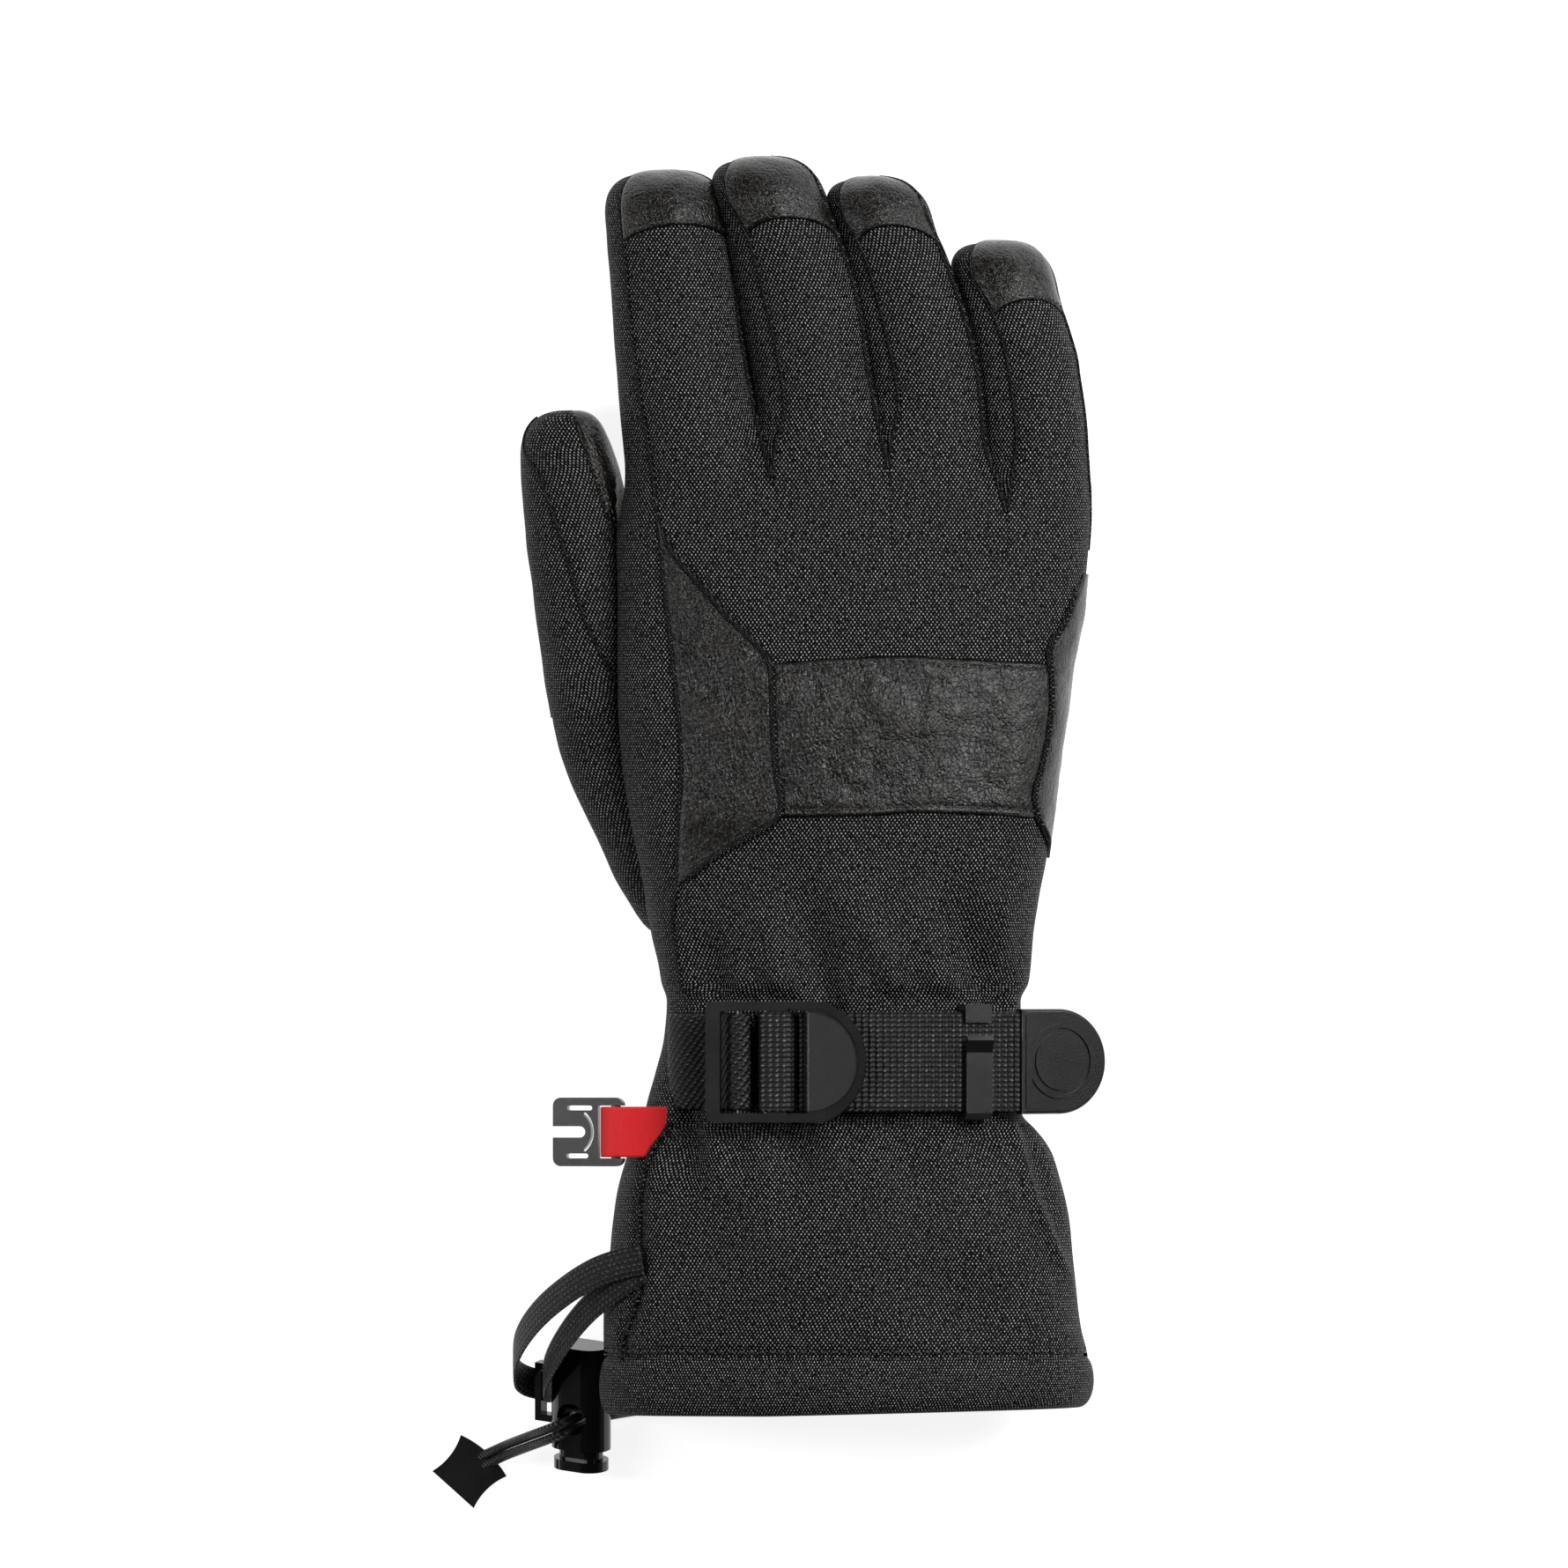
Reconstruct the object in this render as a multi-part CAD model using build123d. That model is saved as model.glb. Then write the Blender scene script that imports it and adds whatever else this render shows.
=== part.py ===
from build123d import *
from dataclasses import dataclass
from math import asin, atan2, cos, degrees, hypot, pi, radians, sin, sqrt, tan
import os

# Insulated ski glove for the right hand, lying palm down on a table.
# Millimetres.  +Y runs from the cuff's mouth to the fingertips, +Z out of the
# back of the hand, and the thumb is on the -X side.  The glove is laid out
# with the cuff's mouth at y = 0, and everything is moved at the end so that
# the origin is the middle of its footprint, on the table.

# ---------------------------------------------------------------- driving sizes

# walls of the soft goods
SKIN = 1.6               # woven softshell or leather with its backing
PLY_GAP = 0.2            # play between one ply and the next
HAND_INSULATION = 2.2
LINING = 1.0
FINGER_LINING = 2.2      # padding and fleece of one finger as one ply
BODY_GAP = 0.3           # room between two pieces that move apart
SEAM_GAP = 0.05          # cut edges of two sewn panels stand this far apart

# lengths along the glove
HEM_LENGTH = 15.0
CUFF_TAPER_Y = 64.0      # the cuff starts to narrow to the wrist here
WRIST_Y = 73.7           # cuff and hand meet under the strap
WRIST_END_Y = 106.0
THUMB_ROOT_Y = 130.0
PALM_Y = 175.0
KNUCKLE_Y = 230.0
HEM_FLARE = 0.6          # the doubled hem stands out by this much
WEB_THICK = 1.6          # panel between the finger roots

# wrist section, which the strap is wrapped round
WRIST_LEFT = -45.2
WRIST_RIGHT = 44.5
WRIST_BOTTOM = 9.0
WRIST_TOP = 53.0
WRIST_CORNER = 16.0

# strap and its hardware
WEBBING_WIDTH = 25.0
WEBBING_THICK = 1.1
ELASTIC_WIDTH = 24.0
ELASTIC_THICK = 1.2
STRAP_Y = 89.0           # middle of the strap's width
KEEPER_BASE = 0.9        # thickness of the keeper's base under the webbing


@dataclass
class Station:
    """One girth of the glove: a four-arc oval across it at y."""

    y: float
    left: float
    right: float
    bottom: float
    top: float
    corner: float


HEM_MOUTH = Station(0.0, -60.0, 60.3, -0.3, 64.0, 25.0)
HEM_TOP = Station(HEM_LENGTH, -59.8, 59.6, 0.2, 63.6, 25.0)
CUFF_MIDDLE = Station(42.0, -57.8, 56.2, 1.2, 61.5, 23.0)
CUFF_TAPER = Station(CUFF_TAPER_Y, -54.3, 52.4, 3.4, 57.5, 20.0)
WRIST_START = Station(WRIST_Y, WRIST_LEFT, WRIST_RIGHT, WRIST_BOTTOM, WRIST_TOP, WRIST_CORNER)
WRIST_END = Station(WRIST_END_Y, WRIST_LEFT, WRIST_RIGHT, WRIST_BOTTOM, WRIST_TOP, WRIST_CORNER)
THUMB_ROOT = Station(THUMB_ROOT_Y, -50.0, 48.2, 8.4, 51.5, 17.5)
PALM = Station(PALM_Y, -56.6, 54.8, 7.0, 48.5, 17.0)
KNUCKLES = Station(KNUCKLE_Y, -56.6, 61.0, 4.0, 38.4, 14.5)

CUFF_STATIONS = [HEM_TOP, CUFF_MIDDLE, CUFF_TAPER, WRIST_START]
HAND_STATIONS = [WRIST_START, WRIST_END, THUMB_ROOT, PALM, KNUCKLES]


@dataclass
class Digit:
    """One finger or the thumb: a slim cone with a round tip."""

    name: str
    base_x: float
    base_y: float
    base_z: float
    lean: float          # degrees from +Y towards the thumb side
    pitch: float         # degrees that the tip points down
    length: float        # base plane to tip, along its own axis
    base_radius: float
    tip_radius: float
    cap: float           # length of the leather fingertip cap


FINGERS = [
    Digit("index", -37.4, KNUCKLE_Y + BODY_GAP, 21.0, 6.9, 6.2, 82.4, 17.0, 14.0, 17.0),
    Digit("middle", -4.6, KNUCKLE_Y + BODY_GAP, 21.0, 9.7, 5.9, 86.6, 14.0, 13.8, 20.0),
    Digit("ring", 22.4, KNUCKLE_Y + BODY_GAP, 21.0, 10.1, 7.6, 82.0, 12.3, 12.3, 17.0),
    Digit("little", 48.6, KNUCKLE_Y + BODY_GAP, 21.0, 7.5, 9.5, 65.4, 13.0, 12.5, 20.0),
]
THUMB_BASE_Y = 178.0
THUMB = Digit("thumb", -61.4, THUMB_BASE_Y + BODY_GAP, 14.6, 7.2, 2.0, 74.5, 12.9, 12.7, 20.0)

# seams round a finger, in degrees from +Z towards +X
BACK_FROM, BACK_TO = -38.0, 82.0
PALM_FROM, PALM_TO = 112.0, 252.0

SIDE_SEAM_HAND_X = (-41.0, -46.5)    # index side seam of the hand: at the wrist, at the knuckles
SIDE_SEAM_CUFF_X = -49.5
BAND_Y = (150.0, 189.4)              # embossed leather band across the knuckles

# ---------------------------------------------------------------- plain helpers


ROOM = (320.0, 420.0, 130.0)       # a block that holds the whole glove
ROOM_Y = -60.0


def beyond_y(y):
    """Everything farther along the glove than y."""
    return Pos(0, y + ROOM[1] / 2, 10) * Box(*ROOM)


def above_table():
    """Everything over the table."""
    return Pos(0, ROOM_Y + ROOM[1] / 2, ROOM[2] / 2) * Box(*ROOM)


def slab_y(y_from, y_to):
    """Everything between two stations along the glove."""
    return Pos(0, (y_from + y_to) / 2, 30) * Box(ROOM[0], y_to - y_from, ROOM[2])


def prism(points, z_from=-50.0, z_to=120.0):
    """Upright prism over a closed outline seen from above."""
    face = make_face(Polyline(*points, close=True))
    return Pos(0, 0, z_from) * extrude(face, amount=z_to - z_from)


def outline_prism(edges, z_from=-50.0, z_to=120.0):
    """Upright prism over an outline of lines and arcs seen from above."""
    return Pos(0, 0, z_from) * extrude(make_face(edges), amount=z_to - z_from)


def oval_face(station, inset=0.0):
    """The four-arc oval of one girth, moved inwards by inset."""
    half_width = (station.right - station.left) / 2 - inset
    half_height = (station.top - station.bottom) / 2 - inset
    corner = station.corner - inset
    mid_x = (station.left + station.right) / 2
    mid_z = (station.bottom + station.top) / 2
    big = big_radius(station, inset)
    toward_x = (half_width - corner) / (big - corner)
    toward_z = (big - half_height) / (big - corner)
    touch_x = half_width - corner + corner * toward_x
    touch_z = corner * toward_z

    def at(x, z):
        return (mid_x + x, station.y, mid_z + z)

    corners = [at(-touch_x, touch_z), at(touch_x, touch_z), at(touch_x, -touch_z), at(-touch_x, -touch_z)]
    middles = [at(0, half_height), at(half_width, 0), at(0, -half_height), at(-half_width, 0)]
    arcs = [ThreePointArc(corners[i], middles[i], corners[(i + 1) % 4]) for i in range(4)]
    return Face(Wire(arcs))


def big_radius(station, inset=0.0):
    """Radius of an oval's long arcs, over and under the hand."""
    half_width = (station.right - station.left) / 2 - inset
    half_height = (station.top - station.bottom) / 2 - inset
    corner = station.corner - inset
    reach = half_width - corner
    return (reach**2 + half_height**2 - corner**2) / (2 * (half_height - corner))


def tube_body(stations, inset=0.0):
    """Solid through the girths, moved inwards by inset."""
    return loft([oval_face(station, inset) for station in stations], ruled=True)


def ply(stations, from_inset, to_inset):
    """One layer of the glove's wall, open at both ends."""
    return tube_body(stations, from_inset) - tube_body(stations, to_inset)


def upper_half(stations):
    """Everything above the side seams, which run from girth to girth at mid height."""
    first, last = stations[0], stations[-1]
    z_first = (first.bottom + first.top) / 2
    z_last = (last.bottom + last.top) / 2
    outline = Polyline(
        (first.y - 1, z_first), (last.y + 1, z_last), (last.y + 1, 120), (first.y - 1, 120), close=True
    )
    return extrude(Plane.YZ * make_face(outline), amount=200, both=True)


# ---------------------------------------------------------------- digits


def digit_place(digit):
    return Pos(digit.base_x, digit.base_y, digit.base_z) * Rot(Z=digit.lean) * Rot(X=-digit.pitch)


def digit_body(digit, inset=0.0):
    """Cone with a ball end along the digit's axis, cut off square to the hand at its base."""
    root = digit.base_radius - inset
    tip = digit.tip_radius - inset
    tip_y = digit.length - digit.tip_radius
    slope = asin((root - tip) / tip_y)
    back = 12.0
    root_r = (root + back * sin(slope)) / cos(slope)
    shoulder = (tip * cos(slope), tip_y + tip * sin(slope))
    halfway = radians(45) + slope / 2
    profile = Polyline((0, digit.length - inset), (0, -back), (root_r, -back), shoulder) + ThreePointArc(
        shoulder, (tip * cos(halfway), tip_y + tip * sin(halfway)), (0, digit.length - inset)
    )
    solid = revolve(make_face(profile), axis=Axis.Y)
    return (digit_place(digit) * solid) & beyond_y(digit.base_y)


def digit_wedge(digit, angle_from, angle_to):
    """Slice of pie round the digit's axis, from one seam to the next."""
    reach = 60.0
    steps = 3
    rim = []
    for i in range(steps + 1):
        angle = radians(angle_from + (angle_to - angle_from) * i / steps)
        rim.append((reach * sin(angle), reach * cos(angle)))
    face = make_face(Polyline((0, 0), *rim, close=True))
    wedge = extrude(Plane.XZ * face, amount=150, both=True)
    return digit_place(digit) * wedge


def past_cap(digit):
    """Everything beyond the edge of the fingertip cap."""
    return digit_place(digit) * Pos(0, digit.length - digit.cap + 100, 0) * Box(200, 200, 200)


def resting(shape):
    """The shape with what would be under the table trimmed flat."""
    return shape & above_table()


# ---------------------------------------------------------------- export list

nodes = {}


def add(name, shape):
    shape.label = name
    nodes[name] = shape


# ---------------------------------------------------------------- hand and cuff

WALL = SKIN + PLY_GAP + HAND_INSULATION + PLY_GAP + LINING
INSULATION_FROM = SKIN + PLY_GAP
LINING_FROM = INSULATION_FROM + HAND_INSULATION + PLY_GAP

THUMB_STUB_Y = 119.0


def thumb_stub(inset=0.0):
    """The thumb's root: it swells from the side of the hand up to the thumb's base plane."""
    lean_shift = (THUMB.base_y - THUMB_BASE_Y) * tan(radians(THUMB.lean))
    far = Plane((THUMB.base_x + lean_shift, THUMB_BASE_Y, THUMB.base_z), x_dir=(1, 0, 0), z_dir=(0, 1, 0))
    near = Plane((-41.0, THUMB_STUB_Y, 20.0), x_dir=(1, 0, 0), z_dir=(0, 1, 0))
    sections = [near * Circle(9.0 - inset), far * Circle(THUMB.base_radius - inset)]
    return loft(sections, ruled=True)


def hand_grown(gap):
    """The hand's outside, grown by gap: what the thumb nestles against."""
    return tube_body(HAND_STATIONS, -gap)


def hand_leather_edges():
    """Outlines, from above, of the two leather wings at the ends of the knuckle band."""
    seam_wrist, seam_knuckle = SIDE_SEAM_HAND_X
    band_low, band_high = BAND_Y
    inner = [
        Line((seam_knuckle, 226.0), (seam_knuckle - 10, 226.0)),
        Line((seam_knuckle - 10, 226.0), (seam_knuckle - 10, 132.5)),
        Line((seam_knuckle - 10, 132.5), (seam_wrist - 1.5, 132.5)),
        ThreePointArc((seam_wrist - 1.5, 132.5), (-27.0, 141.5), (-16.5, band_low)),
        Line((-16.5, band_low), (-18.8, band_high + 0.4)),
        ThreePointArc((-18.8, band_high + 0.4), (-36.5, 208.0), (seam_knuckle, 226.0)),
    ]
    outer = [
        Line((80.0, 212.0), (59.5, 212.0)),
        ThreePointArc((59.5, 212.0), (54.6, 200.0), (50.6, band_high + 1.6)),
        Line((50.6, band_high + 1.6), (46.6, band_low + 4.0)),
        Line((46.6, band_low + 4.0), (51.0, 138.0)),
        Line((51.0, 138.0), (80.0, 138.0)),
        Line((80.0, 138.0), (80.0, 212.0)),
    ]
    return inner, outer


def make_hand():
    skin = ply(HAND_STATIONS, 0.0, SKIN)
    channel = thumb_stub(SKIN)
    back = skin & upper_half(HAND_STATIONS)
    add("palm_leather", skin - upper_half(HAND_STATIONS) - channel)

    seam_wrist, seam_knuckle = SIDE_SEAM_HAND_X
    side = prism([(seam_wrist, WRIST_Y - 1), (seam_knuckle, KNUCKLE_Y + 1), (-90, KNUCKLE_Y + 1), (-90, WRIST_Y - 1)])
    side_panel = Pos(-SEAM_GAP, 0, 0) * side
    inner_edges, outer_edges = hand_leather_edges()
    inner_wing = outline_prism(inner_edges) - side
    outer_wing = outline_prism(outer_edges)
    band = slab_y(*BAND_Y) - side - inner_wing - outer_wing
    add("index_side_panel", (back & side_panel) - channel)
    add("knuckle_wing_inner", back & inner_wing)
    add("knuckle_wing_outer", back & outer_wing)
    add("knuckle_band", back & band)
    add("hand_back", back - side - inner_wing - outer_wing - slab_y(*BAND_Y))

    web_room = slab_y(KNUCKLE_Y - WEB_THICK - PLY_GAP, KNUCKLE_Y + 1)
    insulation = ply(HAND_STATIONS, INSULATION_FROM, INSULATION_FROM + HAND_INSULATION)
    add("hand_insulation", insulation - channel - web_room)
    add("hand_lining", ply(HAND_STATIONS, LINING_FROM, WALL) - channel - web_room)
    add("thumb_gusset", resting(thumb_stub() - thumb_stub(SKIN)) - hand_grown(PLY_GAP))


def make_finger_web():
    """Panel between the knuckles that the four fingers are sewn to, with a hole for each."""
    web = tube_body(HAND_STATIONS, SKIN + PLY_GAP / 4) & slab_y(KNUCKLE_Y - WEB_THICK, KNUCKLE_Y + 1)
    for finger in FINGERS:
        bore = finger.base_radius - SKIN - PLY_GAP - FINGER_LINING
        web -= digit_place(finger) * Rot(X=90) * Cylinder(bore, 30)
    add("finger_web", web)


def make_cuff():
    skin = ply(CUFF_STATIONS, 0.0, SKIN)
    upper = upper_half(CUFF_STATIONS)
    side = prism([(SIDE_SEAM_CUFF_X, 0), (SIDE_SEAM_CUFF_X, 80), (-90, 80), (-90, 0)])
    add("cuff_back", (skin & upper) - side)
    add("cuff_side_panel", skin & upper & side)
    add("cuff_palm", resting(skin - upper))
    hem = tube_body([HEM_MOUTH, HEM_TOP], -HEM_FLARE) - tube_body([HEM_MOUTH, HEM_TOP], SKIN)
    add("hem_band", resting(hem))
    lining_stations = [HEM_MOUTH] + CUFF_STATIONS
    add("cuff_lining", ply(lining_stations, INSULATION_FROM, INSULATION_FROM + LINING))


# ---------------------------------------------------------------- fingers and thumb


def make_finger(finger):
    skin = resting(digit_body(finger) - digit_body(finger, SKIN))
    cap = past_cap(finger)
    back = digit_wedge(finger, BACK_FROM, BACK_TO)
    palm = digit_wedge(finger, PALM_FROM, PALM_TO)
    name = finger.name
    add(f"{name}_cap", skin & cap)
    sleeve = skin - cap
    add(f"{name}_back", sleeve & back)
    add(f"{name}_palm", sleeve & palm)
    add(f"{name}_gussets", sleeve - back - palm)
    lining_from = SKIN + PLY_GAP
    add(f"{name}_lining", digit_body(finger, lining_from) - digit_body(finger, lining_from + FINGER_LINING))


def thumb_body(inset):
    """The thumb with the hollow that it has where it lies against the hand."""
    return digit_body(THUMB, inset) - hand_grown(0.5 + inset)


def make_thumb():
    skin = resting(thumb_body(0.0) - thumb_body(SKIN))
    back = digit_wedge(THUMB, -30.0, 100.0)
    side = digit_wedge(THUMB, -110.0, -30.0)
    add("thumb_back", skin & back)
    add("thumb_side", skin & side)
    add("thumb_palm", skin - back - side)
    lining_from = SKIN + PLY_GAP
    add("thumb_lining", thumb_body(lining_from) - thumb_body(lining_from + FINGER_LINING))


# ---------------------------------------------------------------- wrist strap

# The strap lies on the wrist's long upper arc, so its layers are bands
# concentric with that arc, each a height w above the wrist.
CROWN_R = big_radius(WRIST_START)
CROWN_X = (WRIST_LEFT + WRIST_RIGHT) / 2
CROWN_Z = WRIST_TOP - CROWN_R

ELASTIC_W = 0.1                                  # elastic on the wrist
KEEPER_W = BODY_GAP                              # keeper's base
LOWER_W = KEEPER_W + KEEPER_BASE + BODY_GAP      # fixed webbing
TAIL_W = LOWER_W + WEBBING_THICK + BODY_GAP      # webbing tail
BUCKLE_W = TAIL_W + WEBBING_THICK + BODY_GAP     # buckle's underside

BUCKLE_X = (-34.8, 5.5)
BUCKLE_WIDTH = 30.2
BUCKLE_THICK = 3.0
BUCKLE_MID_X = (BUCKLE_X[0] + BUCKLE_X[1]) / 2
ANCHOR_BAR_X = -26.4
WRAP_BAR_X = -17.4
ANCHOR_BAR_R = 1.1
WRAP_BAR = (6.2, 1.9)
TAIL_END_X = 43.2
TAIL_START_X = -11.5
END_TAB_X = 64.2
END_TAB_WIDTH = 26.3
END_TAB_THICK = 3.4
KEEPER_X = 31.4
KEEPER_LENGTH = 7.0
KEEPER_RAIL = 1.6


def crown_angle(x, w=0.0):
    """Degrees round the crown, from straight up towards +X, of a point at x."""
    return degrees(asin((x - CROWN_X) / (CROWN_R + w)))


def crown_point(x, w, w_at=0.0):
    """Place at height w on the ray through the crown's point at x and height w_at."""
    angle = radians(crown_angle(x, w_at))
    return (CROWN_X + (CROWN_R + w) * sin(angle), CROWN_Z + (CROWN_R + w) * cos(angle))


def crown_place(x, w):
    """Frame on the crown at x: local X along the strap, local Z out of the wrist."""
    angle = crown_angle(x, w)
    reach = CROWN_R + w
    return Pos(
        CROWN_X + reach * sin(radians(angle)), STRAP_Y, CROWN_Z + reach * cos(radians(angle))
    ) * Rot(Y=angle)


def crown_band(x_from, x_to, w_from, thick, width):
    """Layer of strap on the crown between two places."""

    def at(x, w):
        return crown_point(x, w, w_from)

    mid = (x_from + x_to) / 2
    w_to = w_from + thick
    edges = [
        ThreePointArc(at(x_from, w_from), at(mid, w_from), at(x_to, w_from)),
        Line(at(x_to, w_from), at(x_to, w_to)),
        ThreePointArc(at(x_to, w_to), at(mid, w_to), at(x_from, w_to)),
        Line(at(x_from, w_to), at(x_from, w_from)),
    ]
    return Pos(0, STRAP_Y, 0) * extrude(Plane.XZ * make_face(edges), amount=width / 2, both=True)


def wrist_band(w_from, thick, width):
    """Layer that follows the wrist all the way round."""
    near = Station(STRAP_Y - width / 2, WRIST_LEFT, WRIST_RIGHT, WRIST_BOTTOM, WRIST_TOP, WRIST_CORNER)
    far = Station(STRAP_Y + width / 2, WRIST_LEFT, WRIST_RIGHT, WRIST_BOTTOM, WRIST_TOP, WRIST_CORNER)
    return ply([near, far], -(w_from + thick), -w_from)


def box_between(x_from, x_to, z_from, z_to):
    return Pos((x_from + x_to) / 2, STRAP_Y, (z_from + z_to) / 2) * Box(x_to - x_from, 60, z_to - z_from)


def buckle_frame():
    """Frame of the buckle: its middle, with local X along the strap and Z out of the wrist."""
    return crown_place(BUCKLE_MID_X, BUCKLE_W)


BAR_HEIGHT = BUCKLE_THICK / 2


def on_buckle(x):
    return x - BUCKLE_MID_X


def make_elastic_strap():
    """Twill elastic from the index side seam to its loop round the buckle's anchor bar."""
    mid_z = (WRIST_BOTTOM + WRIST_TOP) / 2
    base = wrist_band(ELASTIC_W, ELASTIC_THICK, ELASTIC_WIDTH) & box_between(-60, -31.5, mid_z + 1, 60)
    ring_out = ANCHOR_BAR_R + BODY_GAP + ELASTIC_THICK
    frame = buckle_frame() * Pos(on_buckle(ANCHOR_BAR_X), 0, BAR_HEIGHT)
    section = Circle(ring_out) - Circle(ANCHOR_BAR_R + BODY_GAP)
    loop = frame * extrude(Plane.XZ * section, amount=ELASTIC_WIDTH / 2, both=True)
    clear = frame * Rot(X=90) * Cylinder(ANCHOR_BAR_R + BODY_GAP, ELASTIC_WIDTH + 1)
    # the riser leaves the wrist and meets the loop from below
    bottom_w = ELASTIC_W + ELASTIC_THICK
    outline = [(-33.4, bottom_w), (-32.0, ELASTIC_W), (-25.4, 5.0), (-27.2, 6.6)]
    riser_face = make_face(Polyline(*[crown_point(x, w) for x, w in outline], close=True))
    riser = Pos(0, STRAP_Y, 0) * extrude(Plane.XZ * riser_face, amount=ELASTIC_WIDTH / 2, both=True)
    add("elastic_strap", (base + loop + riser) - clear)


def make_buckle():
    """Ladder-lock buckle: rim, two cross bars and a D-shaped thumb plate."""
    half = BUCKLE_WIDTH / 2
    left, right = on_buckle(BUCKLE_X[0]), on_buckle(BUCKLE_X[1])
    nose = half * 0.98
    shoulder = right - nose * 0.72
    outline = [
        Line((left + 2, -half), (shoulder, -half)),
        ThreePointArc((shoulder, -half), (right, 0), (shoulder, half)),
        Line((shoulder, half), (left + 2, half)),
        ThreePointArc((left + 2, half), (left + 0.6, half - 0.6), (left, half - 2)),
        Line((left, half - 2), (left, -half + 2)),
        ThreePointArc((left, -half + 2), (left + 0.6, -half + 0.6), (left + 2, -half)),
    ]
    plate = extrude(make_face(outline), amount=BUCKLE_THICK)
    rail = (BUCKLE_WIDTH - WEBBING_WIDTH) / 2 - BODY_GAP
    window_from, window_to = left + 3.6, on_buckle(-9.2)
    window = Pos((window_from + window_to) / 2, 0, BUCKLE_THICK / 2) * Box(
        window_to - window_from, BUCKLE_WIDTH - 2 * rail, BUCKLE_THICK + 2
    )
    # the thumb plate lies lower than the rim round it
    dish = Pos(0, 0, BUCKLE_THICK - 0.8) * extrude(
        offset(make_face(outline), -1.8) & Pos(right - 10, 0) * Rectangle(19, 40), amount=2
    )
    bar_span = BUCKLE_WIDTH - 2 * rail + 0.4
    anchor = Pos(on_buckle(ANCHOR_BAR_X), 0, BAR_HEIGHT) * Rot(X=90) * Cylinder(ANCHOR_BAR_R, bar_span)
    wrap_bar = Pos(on_buckle(WRAP_BAR_X), 0, BAR_HEIGHT) * extrude(
        Plane.XZ * SlotOverall(*WRAP_BAR), amount=bar_span / 2, both=True
    )
    frame = buckle_frame()
    add("buckle", frame * (plate - window - dish + anchor + wrap_bar))
    sleeve = SlotOverall(WRAP_BAR[0] + 2 * WEBBING_THICK, WRAP_BAR[1] + 2 * WEBBING_THICK) - SlotOverall(*WRAP_BAR)
    wrap = extrude(Plane.XZ * sleeve, amount=WEBBING_WIDTH / 2, both=True)
    add("webbing_wrap", frame * Pos(on_buckle(WRAP_BAR_X), 0, BAR_HEIGHT) * wrap)


def make_webbing():
    """Fixed webbing from the outer side seam, and the tail that is pulled to close the wrist."""
    mid_z = (WRIST_BOTTOM + WRIST_TOP) / 2
    lower = wrist_band(LOWER_W, WEBBING_THICK, WEBBING_WIDTH) & box_between(WRAP_BAR_X - 5, 60, mid_z + 1, 62)
    sewn = wrist_band(0.05, LOWER_W, WEBBING_WIDTH) & box_between(30, 60, mid_z + 1, mid_z + 5)
    add("wrist_webbing", lower + sewn)
    add("strap_tail", crown_band(TAIL_START_X, TAIL_END_X, TAIL_W, WEBBING_THICK, WEBBING_WIDTH))


def make_end_tab():
    """Rubber grip moulded on the end of the tail, with two plain raised rings."""
    reach = (END_TAB_X - TAIL_END_X) / cos(radians(crown_angle(TAIL_END_X, TAIL_W)))
    half = END_TAB_WIDTH / 2
    flat = reach - half
    outline = [
        Line((0, -half), (flat, -half)),
        ThreePointArc((flat, -half), (reach, 0), (flat, half)),
        Line((flat, half), (0, half)),
        Line((0, half), (0, -half)),
    ]
    tab = extrude(make_face(outline), amount=END_TAB_THICK)
    tab = fillet(tab.faces().sort_by(Axis.Z)[-1].edges(), 0.8)
    ridge = Pos(1.6, 0, END_TAB_THICK) * Box(1.6, END_TAB_WIDTH - 3, 1.0)
    ring = Pos(flat, 0, END_TAB_THICK) * extrude(Circle(9.3) - Circle(8.4) + Circle(7.2), amount=0.5)
    middle = (END_TAB_THICK - WEBBING_THICK) / 2
    place = crown_place(TAIL_END_X, TAIL_W) * Pos(0, 0, -middle)
    add("strap_end_tab", place * (tab + ridge + ring))


def make_keeper():
    """Plastic keeper: base under the webbing, a J arm over it and a lip on the far edge."""
    inner = WEBBING_WIDTH / 2 + BODY_GAP
    outer = inner + KEEPER_RAIL
    arm_from = TAIL_W + WEBBING_THICK + BODY_GAP
    arm_to = arm_from + 1.5
    base = KEEPER_W
    base_to = base + KEEPER_BASE
    outline = Polyline(
        (-outer, base), (outer, base), (outer, arm_to - 0.6), (inner - 3.0, arm_to - 0.6), (inner - 3.0, arm_from),
        (inner, arm_from), (inner, base_to), (-inner, base_to), (-inner, arm_from), (inner - 9.0, arm_from),
        (inner - 6.2, arm_from + 1.4), (inner - 7.4, arm_to + 1.2), (inner - 10.5, arm_to), (-inner, arm_to),
        (-outer, arm_to - 1.2), close=True,
    )
    body = extrude(Plane.YZ * make_face(outline), amount=KEEPER_LENGTH / 2, both=True)
    add("strap_keeper", crown_place(KEEPER_X, 0) * body)


# ---------------------------------------------------------------- hook and its ribbon

RIBBON_WIDTH = 12.6
RIBBON_THICK = 0.5
RIBBON_Y = 71.4
CLIP_BAR = (-57.4, 44.6)           # x and z of the bar that the ribbon goes round
CLIP_BAR_R = 1.2
CLIP_DROOP = 12.0                  # degrees that the hook hangs down
CLIP_LENGTH = 18.0
CLIP_WIDTH = 17.2
CLIP_THICK = 2.8
RIBBON_SEAM = (-43.8, 49.4)        # x and z where the ribbon comes out of the cuff's seam


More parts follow.
